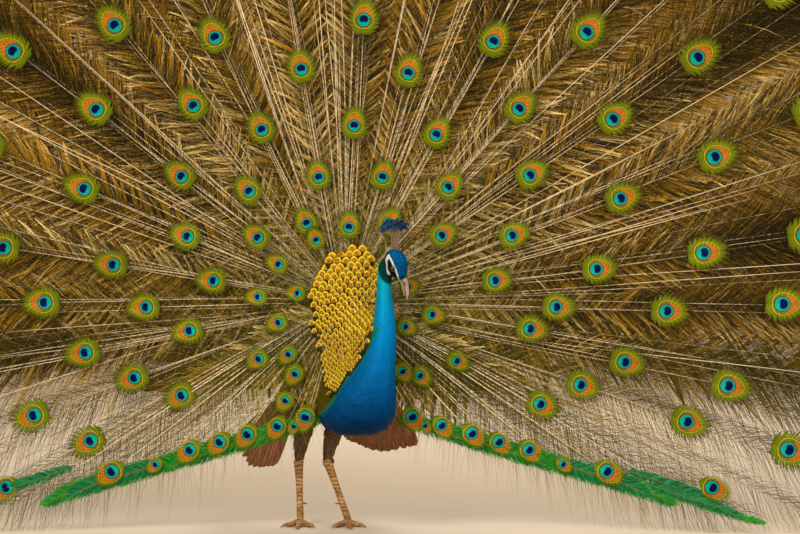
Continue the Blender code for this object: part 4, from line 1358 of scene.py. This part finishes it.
def make_lower_edge():
    """The green sickle feathers along the train's lower edge: a dense vane below and a narrow one above."""
    barbs, points = [], 60
    runs = [(0.085 + n * 0.052, 0.19, 0.0) for n in range(9)] + [(0.505, 0.195, 0.0)]
    outer = {-1.0: [(0.640, 0.20, 0.046), (0.700, 0.20, 0.050), (0.760, 0.17, 0.052)],
             1.0: [(0.600, 0.19, 0.026), (0.645, 0.20, 0.016), (0.690, 0.205, 0.004)]}
    for side in (-1.0, 1.0):
        for n, (start, length, lift) in enumerate(runs + outer[side]):
            x = LOW_MIDDLE + side * (start + np.linspace(0, length, points))
            z = lower_edge(x) + 0.018 + 0.004 * math.sin(n * 2.1) + lift
            z += 0.006 * np.linspace(1, 0, points) ** 2
            z[-20:] -= 0.010 * np.linspace(0, 1, 20) ** 2
            far = np.hypot(x, z - FAN_HUB[2])
            y = FAN_HUB[1] - TRAIN_CUP * (far / TRAIN_LENGTH) ** 2 - 0.004 - 0.0012 * (n % 4)
            line = np.stack((x, y, np.maximum(z, 0.020)), axis=-1)
            tangents = unit(np.gradient(line, axis=0))
            for face in (side, -side):  # the broad lower vane and the narrow upper one
                low = face * side > 0
                count = int(length / (0.00080 if low else 0.0016))
                at = np.linspace(0, points - 1, count)
                roots, ways = (
                    np.stack([np.interp(at, np.arange(points), of[:, k]) for k in range(3)], axis=-1)
                    for of in (line, tangents)
                )
                share = at / (points - 1)
                full = np.sin(np.clip(share * 0.90 + 0.10, 0, 1) * math.pi) ** 0.4
                size = (0.040 if low else 0.023) * (0.62 if lift else 1.0) * full
                size = size * chance.uniform(0.82, 1.15, count)
                spread = np.radians(54 - 16 * share + chance.normal(0, 6, count))
                curve, halves = sweep(
                    unit(ways), roots, face, spread, size, chance.normal(0.15, 0.06, count),
                    np.full(count, 0.10), np.full(count, 0.0021), chance.normal(0, 0.30, count),
                    chance.normal(0.0, 0.06, count),
                )
                tone = chance.normal(0.50, 0.20, count) + 0.10 * math.sin(n * 1.7) - 0.1 * (not low)
                teal = 0.12 + 0.50 * (start > 0.40) * (n % 3 > 0) + chance.normal(0, 0.10, count)
                barbs.append((curve, halves, tone, np.clip(teal, 0, 1)))
    return barbs


# ---------------------------------------------------------------- other feathers


def quilled_feather(root, tip, width, normal, rows=12, across=7, bend=0.0, cup=0.06):
    """A stiff feather from root to tip, its plan across (-1 to 1) and along (0 to 1)."""
    root, tip, normal = (np.array(v, float) for v in (root, tip, normal))
    way = tip - root
    length = np.linalg.norm(way)
    way = way / length
    normal = unit(normal - way * (normal @ way))
    side = np.cross(way, normal)
    v = np.linspace(0, 1, rows)
    u = np.linspace(-1, 1, across)
    wide = width / 2 * np.clip(np.sin(np.clip(v * 0.80 + 0.13, 0, 1) * math.pi) ** 0.42, 0.02, None)
    wide = wide * np.where(v > 0.86, np.sqrt(np.clip(1 - ((v - 0.86) / 0.145) ** 2, 0.02, 1)), 1.0)
    uu, vv = np.meshgrid(u, v)
    half = wide[:, None] * uu
    along = length * vv
    rise = -cup * width * uu**2 + bend * length * np.sin(vv * math.pi)
    place = root + way * along[..., None] + side * half[..., None] + normal * rise[..., None]
    return place.reshape(-1, 3), grid_faces(1, rows, across), uu.reshape(-1), vv.reshape(-1)


def feather_coat(feathers, name):
    """A piece from quilled feathers: each (root, tip, width, normal, settings)."""
    coat = Coat()
    cells = int(math.ceil(math.sqrt(len(feathers))))
    for n, (root, tip, width, normal, settings) in enumerate(feathers):
        corners, faces, x, y = quilled_feather(root, tip, width, normal, **settings)
        cell = np.array((n % cells, n // cells)) / cells
        patches = cell + np.stack((x * 0.4 + 0.5, y * 0.8 + 0.1), axis=-1) / cells
        kind = np.full(len(x), (n * 0.37) % 1.0)
        coat.add(corners, faces, patches, np.stack((x, y, kind), axis=-1))
    return coat.mesh(name, "spot")


def own(x, y, z):
    """A place given from the bird's own origin."""
    return np.array((x, y, z)) + OWN_ORIGIN


def make_tail():
    """Twenty stiff tail feathers in a fan behind the train."""
    hub, feathers = own(-0.046, 0.144, 0.404), []
    for n in range(20):
        angle = math.radians(-12 + n * 204 / 19)
        reach = 0.436 + 0.004 * (n % 2)
        back = 0.0022 * (abs(n - 9.5) % 3) + 0.0008 * n * (1 if n < 10 else -1)
        way = np.array((math.cos(angle), 0.0, math.sin(angle)))
        root = hub + way * 0.028 + np.array((0, 0.002 + back * 0.3, 0))
        tip = hub + way * reach + np.array((0, -0.085 * reach / 0.44 + 0.002 + back, 0))
        feathers.append((root, tip, 0.066, (0.0, 1.0, 0.19), {"rows": 16, "cup": 0.03}))
    return feather_coat(feathers, "tail_feathers")


WINGS = {  # centre line (centre, half height), ends of the quills' roots, tips along the edge
    "right": (
        (((-0.074, 0.006, 0.345), 0.022), ((-0.106, 0.040, 0.318), 0.052), ((-0.126, 0.095, 0.300), 0.060),
         ((-0.140, 0.160, 0.297), 0.048), ((-0.146, 0.225, 0.298), 0.016)),
        ((-0.120, 0.044, 0.276), (-0.138, 0.140, 0.262)),
        ((-0.172, 0.085, 0.128), (-0.226, 0.150, 0.124), (-0.262, 0.235, 0.172)),
    ),
    "left": (
        (((0.100, 0.006, 0.345), 0.022), ((0.096, 0.040, 0.318), 0.052), ((0.074, 0.095, 0.300), 0.060),
         ((0.048, 0.160, 0.297), 0.048), ((0.026, 0.225, 0.298), 0.016)),
        ((0.098, 0.044, 0.276), (0.060, 0.140, 0.262)),
        ((0.168, 0.075, 0.176), (0.080, 0.190, 0.152), (0.000, 0.262, 0.176)),
    ),
}


COVERT_ROWS = (  # how far down the arm, length, width
    (0.80, 0.062, 0.026), (0.45, 0.050, 0.024), (0.10, 0.042, 0.021),
    (-0.25, 0.036, 0.019), (-0.60, 0.032, 0.018), (-0.90, 0.028, 0.016),
)


def through(points, t):
    """A smooth place at t, from 0 to 1, through the points."""
    points = np.array(points, float)
    last = len(points) - 1
    at = min(max(t, 0.0), 1.0) * last
    i = min(int(at), last - 1)
    f = at - i
    a, b, c, d = (points[min(max(i + k, 0), last)] for k in (-1, 0, 1, 2))
    return 0.5 * (2 * b + (c - a) * f + (2 * a - 5 * b + 4 * c - d) * f * f + (3 * b - a - 3 * c + d) * f**3)


def make_wing(side):
    """Chestnut flight feathers, and rows of barred coverts over the arm on both faces."""
    line, roots, tips = WINGS[side]
    out = unit(np.array((-1.0 if side == "right" else 1.0, -0.25, 0.0)))
    quills, coverts = [], []
    for n in range(11):
        t = n / 10
        root = own(*(np.array(roots[0]) * (1 - t) + np.array(roots[1]) * t)) + out * 0.0012 * (n % 2)
        tip = own(*through(tips, t)) + out * (0.0015 * (n % 3) - 0.0015)
        up = np.array((0, 0, 0.016))
        edge_way = through(tips, min(t + 0.05, 1.0)) - through(tips, max(t - 0.05, 0.0))
        flat = unit(np.cross(tip - root, edge_way))
        flat = flat * np.sign(flat @ out + 1e-9)
        quills.append((root + up, tip, 0.058, flat, {"rows": 12, "cup": 0.05, "bend": 0.012}))
    centres, heights = [c for c, _ in line], [h for _, h in line]
    for face in (1.0, -1.0):
        for row, (down, length, width) in enumerate(COVERT_ROWS):
            count = 13 + row
            for n in range(count):
                t = (n + 0.5 * (row % 2)) / (count - 0.5)
                centre = own(*through(centres, t))
                half = float(np.interp(t * 4, range(5), heights))
                thick = 0.006 + 0.006 * math.sin(t * math.pi)
                outward = thick * math.sqrt(1 - min(down * down, 0.9)) - 0.001
                place = centre - UP * half * down + out * face * outward
                before, beyond = max(t - 0.05, 0.0), min(t + 0.05, 1.0)
                ahead = own(*through(centres, beyond)) - own(*through(centres, before))
                way = unit(unit(ahead) * 0.75 - UP * 0.9 + out * face * (0.04 + 0.25 * down))
                size = 0.75 + 0.5 * math.sin(t * math.pi)
                tip = place + way * length * size + out * face * 0.002
                coverts.append((place, tip, width * size, out * face, {"rows": 6, "across": 5, "cup": 0.10}))
    return feather_coat(quills, "flight_feathers_" + side), feather_coat(coverts, "wing_coverts_" + side)


def make_wing_arm(side):
    """The arm under the coverts, with a place in spot for their bars."""
    arm = remeshed(copied("wing_" + side), 0.0022, -0.0015, 3)
    places, _ = vertex_arrays(arm)
    spots = np.stack((np.full(len(places), 0.5), places[:, 1] * 8, places[:, 2] * 9), -1)
    layer = arm.attributes.new("spot", "FLOAT_VECTOR", "POINT")
    layer.data.foreach_set("vector", spots.astype(np.float32).ravel())
    return arm


CREST_ARC = (  # where the brushes end: along the crest's spread, and up its stems
    (-0.0290, 0.0450), (-0.0290, 0.0525), (-0.0215, 0.0605),
    (-0.0050, 0.0655), (0.0140, 0.0640), (0.0290, 0.0545),
)


def crest_point(spread, height, side):
    """A place in the crest: along its spread, up its stems and out to the side."""
    along = -0.0285 + spread * 0.741 + height * -0.741
    up = 0.0204 + spread * 1.030 + height * 0.708
    axes = [np.array(axis) for axis in (BILL_AXIS, CROWN_AXIS, CHEEK_AXIS)]
    return np.array(HEAD_CENTRE) + axes[0] * along + axes[1] * up + axes[2] * side


def make_crest():
    """A column of bare stems, and the brushes at their tips spread into one curved cap."""
    coat, cheek = Coat(), np.array(CHEEK_AXIS)

    def lay(line, halves, fan, tone, spot, u):
        corners, faces = strips(line[None], halves[None])
        values = np.stack((np.full(2 * len(u), tone), np.full(2 * len(u), fan), np.repeat(u, 2)), axis=-1)
        plan = np.tile((-0.5, 0.5), len(u))
        coat.add(corners, faces, patch_for(np.array(spot)[None], plan, np.repeat(u, 2)), values)

    count = 30
    for n in range(count):
        t = n / (count - 1)
        layer = ((n * 7) % 5 - 2) / 2
        tip = through(CREST_ARC, t) * (1 - 0.14 * ((n * 3) % 4) / 3)
        foot = np.array(((t - 0.5) * 0.011, -0.004))
        neck = np.array(((t - 0.5) * 0.019, 0.040))
        u = np.linspace(0, 1, 7)
        path = foot + (neck - foot) * u[:, None] + np.array(((t - 0.5) * 0.006, 0.0)) * (u**3)[:, None]
        line = np.array([crest_point(p[0], p[1], 0.0032 * layer * (0.5 + 0.5 * k)) for p, k in zip(path, u)])
        for turn in (0.0, math.pi / 2):
            way = unit(np.gradient(line, axis=0))
            flat = unit(np.cross(way, cheek))
            halves = (flat * math.cos(turn) + cheek * math.sin(turn)) * 0.00048
            lay(line, halves, 0.0, 0.25 + 0.6 * ((n * 5) % 7) / 7, (0.03 + 0.031 * n, 0.2), u)
        top = path[-1]
        bent = np.array((top[0] + (tip[0] - top[0]) * 0.40, max(top[1], tip[1]) + 0.004))
        v = np.linspace(0, 1, 4)
        for k in range(26):
            share = k / 25
            on = (1 - share) ** 2 * top + 2 * (1 - share) * share * bent + share**2 * tip
            way = 2 * (1 - share) * (bent - top) + 2 * share * (tip - bent)
            way = way / max(float(np.hypot(*way)), 1e-6)
            out = np.array((-way[1], way[0])) * (-1.0 if k % 2 else 1.0)
            size = 0.0064 - 0.0016 * share
            lean = way * 0.95 + out * (0.50 - 0.20 * share)
            ends = on + lean * size * v[:, None] + np.array((0.0, -0.0012)) * (v**2)[:, None]
            deep = 0.0034 * layer + 0.0040 * math.sin(k * 2.4) * v
            barb = np.array([crest_point(p[0], p[1], d) for p, d in zip(ends, deep)])
            flat = unit(np.cross(barb[-1] - barb[0], cheek + chance.normal(0, 0.35, 3)))
            halves = flat[None] * (0.00135 * (1 - 0.70 * v**2))[:, None]
            spot = (0.03 + 0.031 * n, 0.3 + 0.03 * k)
            lay(barb, halves, min(1.0, 0.55 + share * 2.0), chance.uniform(0.15, 0.9), spot, v)
    return coat.mesh("crest_fans", "lie")


def make_eyeball(side):
    """An eyeball that looks out of its cheek. side is 1 on the bird's right and -1 on its left."""
    bm = bmesh.new()
    bmesh.ops.create_uvsphere(bm, u_segments=32, v_segments=20, radius=EYE_RADIUS)
    turn = (CHEEK_AXIS if side > 0 else -CHEEK_AXIS).to_track_quat("Z", "Y").to_matrix()
    for v in bm.verts:  # the clear front bulges a little
        if v.co.z > EYE_RADIUS * 0.80:
            v.co.z += 0.0004 * (v.co.z / EYE_RADIUS - 0.80) / 0.20
    bmesh.ops.rotate(bm, verts=bm.verts, cent=(0, 0, 0), matrix=turn)
    bmesh.ops.translate(bm, verts=bm.verts, vec=head_point(EYE_PLACE[0], EYE_PLACE[1], side * EYE_PLACE[2]))
    mesh = mesh_of(bm, "eye")
    mesh.shade_smooth()
    return mesh


def make_lid(side):
    """A soft rim round the eye, a little flattened above and below."""
    bm = bmesh.new()
    rim, ring, tube = 0.0066, 28, 8
    circle = bmesh.ops.create_circle(bm, cap_ends=False, radius=0.0010, segments=tube)["verts"]
    upright = Vector((0, 1, 0)).to_track_quat("Z", "Y").to_matrix()
    bmesh.ops.rotate(bm, verts=circle, cent=(0, 0, 0), matrix=upright)
    bmesh.ops.translate(bm, verts=circle, vec=(rim, 0, 0))
    bmesh.ops.spin(
        bm, geom=[*circle, *{e for v in circle for e in v.link_edges}], cent=(0, 0, 0), axis=(0, 0, 1),
        angle=2 * math.pi, steps=ring, use_merge=True, use_duplicate=False,
    )
    bmesh.ops.remove_doubles(bm, verts=bm.verts, dist=1e-6)
    bmesh.ops.recalc_face_normals(bm, faces=bm.faces)
    for v in bm.verts:
        x, y, z = v.co
        round_to = math.hypot(x, y)
        slim = 0.84 + 0.16 * abs(x) / max(round_to, 1e-6)
        v.co = head_point(
            EYE_PLACE[0] + x * 1.04, EYE_PLACE[1] + y * slim,
            side * (EYE_PLACE[2] + 0.0033 + z - 0.06 * (x / rim) ** 2 * 0.02),
        )
    if side < 0:
        bmesh.ops.reverse_faces(bm, faces=bm.faces)
    mesh = mesh_of(bm, "lid")
    mesh.shade_smooth()
    return mesh


# ---------------------------------------------------------------- the bird

# The skin is painted at 0.85 of the feathers' brightness: painted shade where it shows between them.
skin_finish = plumage("plumage_skin", 0.85, metallic=0.2, specular_ior_level=0.02)
coat_finish = plumage("plumage_feathers", 1.0, metallic=0.2, specular_ior_level=0.02)
barb_finish, quills_finish, spots_finish = train_finish(), quill_finish(), eyespot_finish()
green_finish, scales_finish, bill_finish = edge_finish(), scale_finish(), horn_finish()
legs_finish = leg_finish()
tail_finish = vane_finish("brown_tail_vanes", (0.170, 0.125, 0.085), (0.090, 0.064, 0.044), 9.0)
covert_finish = vane_finish("barred_coverts", (0.420, 0.330, 0.220), (0.030, 0.024, 0.018), 2.2)
flight_finish = vane_finish("chestnut_vanes", (0.340, 0.122, 0.040), (0.215, 0.074, 0.026), 4.0)

skin = make_skin()
piece("skin", skin, skin_finish, "blue_plumage", *FLESH)
piece("body_plumage", make_body_coat(skin), coat_finish, "blue_plumage")
piece("gold_scales", make_gold_scales(skin), scales_finish, "gold_scales")

feathers = train_plan()
barb_sets = make_barbs(feathers)
shares = ("left_low", "left_middle", "left_high", "right_high", "right_middle", "right_low")
train_nodes = sorted(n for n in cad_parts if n.startswith("train_"))
for n, share in enumerate(shares):
    mesh = joined_barbs(barb_sets, n, len(shares)).mesh("train_barbs_" + share, "lie")
    nodes = [node for node in train_nodes if ("_left_" in node) == share.startswith("left")]
    piece("train_barbs_" + share, mesh, barb_finish, "train_bronze", *nodes)
piece("train_quills", make_quills(feathers), quills_finish, "train_bronze")

edge = Coat()
for barbs in make_lower_edge():
    edge.add(*barbs_of(*barbs))
piece("green_edge", edge.mesh("green_edge", "lie"), green_finish, "train_green")

piece("train_eyespots", make_eyespots(feathers), spots_finish, "train_bronze")

piece("tail_feathers", make_tail(), tail_finish, "tail_brown", "tail_left", "tail_right")
for side in ("left", "right"):
    flight, coverts = make_wing(side)
    piece("flight_feathers_" + side, flight, flight_finish, "chestnut_quills", "primaries_" + side)
    piece("wing_coverts_" + side, coverts, covert_finish, "barred_plumage")
    piece("wing_arm_" + side, make_wing_arm(side), covert_finish, "barred_plumage", "wing_" + side)
    sign = 1.0 if side == "right" else -1.0
    piece("eyeball_" + side, make_eyeball(sign), eye_finish(), "eye", "eye_" + side)
    piece("eyelid_" + side, make_lid(sign), lid_finish(), "head_plumage")
    for node in ("shank_" + side, "foot_" + side):
        piece("scaled_" + node, remeshed(copied(node), 0.0009, 0.0, 6), legs_finish, "leg_scales", node)
piece("crest_fans", make_crest(), crest_finish(), "crest", "crest")
for node in ("bill_upper", "bill_lower"):
    piece("horn_" + node, remeshed(copied(node), 0.0006, 0.0002, 8), bill_finish, "horn", node)

# ---------------------------------------------------------------- floor, light and camera


def studio_finish(name, colour):
    """A plain, faintly mottled floor."""
    f = Finish(name)
    grain = f.noise(f.place(), 3.0, 4.0)
    return f.done(f.tinted(colour, 0.97 + grain * 0.06), Roughness=0.75 + grain * 0.1)


def make_studio():
    """A pale floor, open on every side."""
    bm = bmesh.new()
    bmesh.ops.create_circle(bm, cap_ends=True, segments=64, radius=14.0)
    mesh = mesh_of(bm, "studio_floor")
    mesh.materials.append(studio_finish("pale_floor", (0.70, 0.60, 0.48)))
    floor = bpy.data.objects.new("studio_floor", mesh)
    bpy.context.scene.collection.objects.link(floor)


def add_light(name, place, target, size, power, colour):
    """A square lamp that looks at the target."""
    lamp = bpy.data.lights.new(name, "AREA")
    lamp.energy, lamp.size, lamp.color = power, size, colour
    made = bpy.data.objects.new(name, lamp)
    made.location = place
    made.rotation_euler = (Vector(target) - Vector(place)).to_track_quat("-Z", "Y").to_euler()
    bpy.context.scene.collection.objects.link(made)


make_studio()
add_light("key", (-2.6, -4.2, 4.2), (0.0, 0.0, 0.7), 2.2, 210.0, (1.0, 0.95, 0.87))
add_light("fill", (3.4, -3.6, 2.2), (0.0, 0.0, 0.7), 3.0, 80.0, (0.93, 0.96, 1.0))
add_light("back", (1.0, 3.0, 3.4), (0.0, 0.2, 0.8), 2.0, 90.0, (1.0, 0.92, 0.80))
sky = bpy.data.worlds.new("studio_air")
sky.use_nodes = True
sky.node_tree.nodes["Background"].inputs["Color"].default_value = (0.66, 0.56, 0.43, 1.0)
sky.node_tree.nodes["Background"].inputs["Strength"].default_value = 0.80
bpy.context.scene.world = sky
bpy.context.scene.view_settings.view_transform = "Standard"

lens = bpy.data.cameras.new("camera")
lens.lens, lens.sensor_width = 99.0, 36.0
camera = bpy.data.objects.new("camera", lens)
camera.location = (0.124, -5.0135, 0.650)
camera.rotation_euler = (math.radians(89.30), 0.0, 0.0)
bpy.context.scene.collection.objects.link(camera)
bpy.context.scene.camera = camera
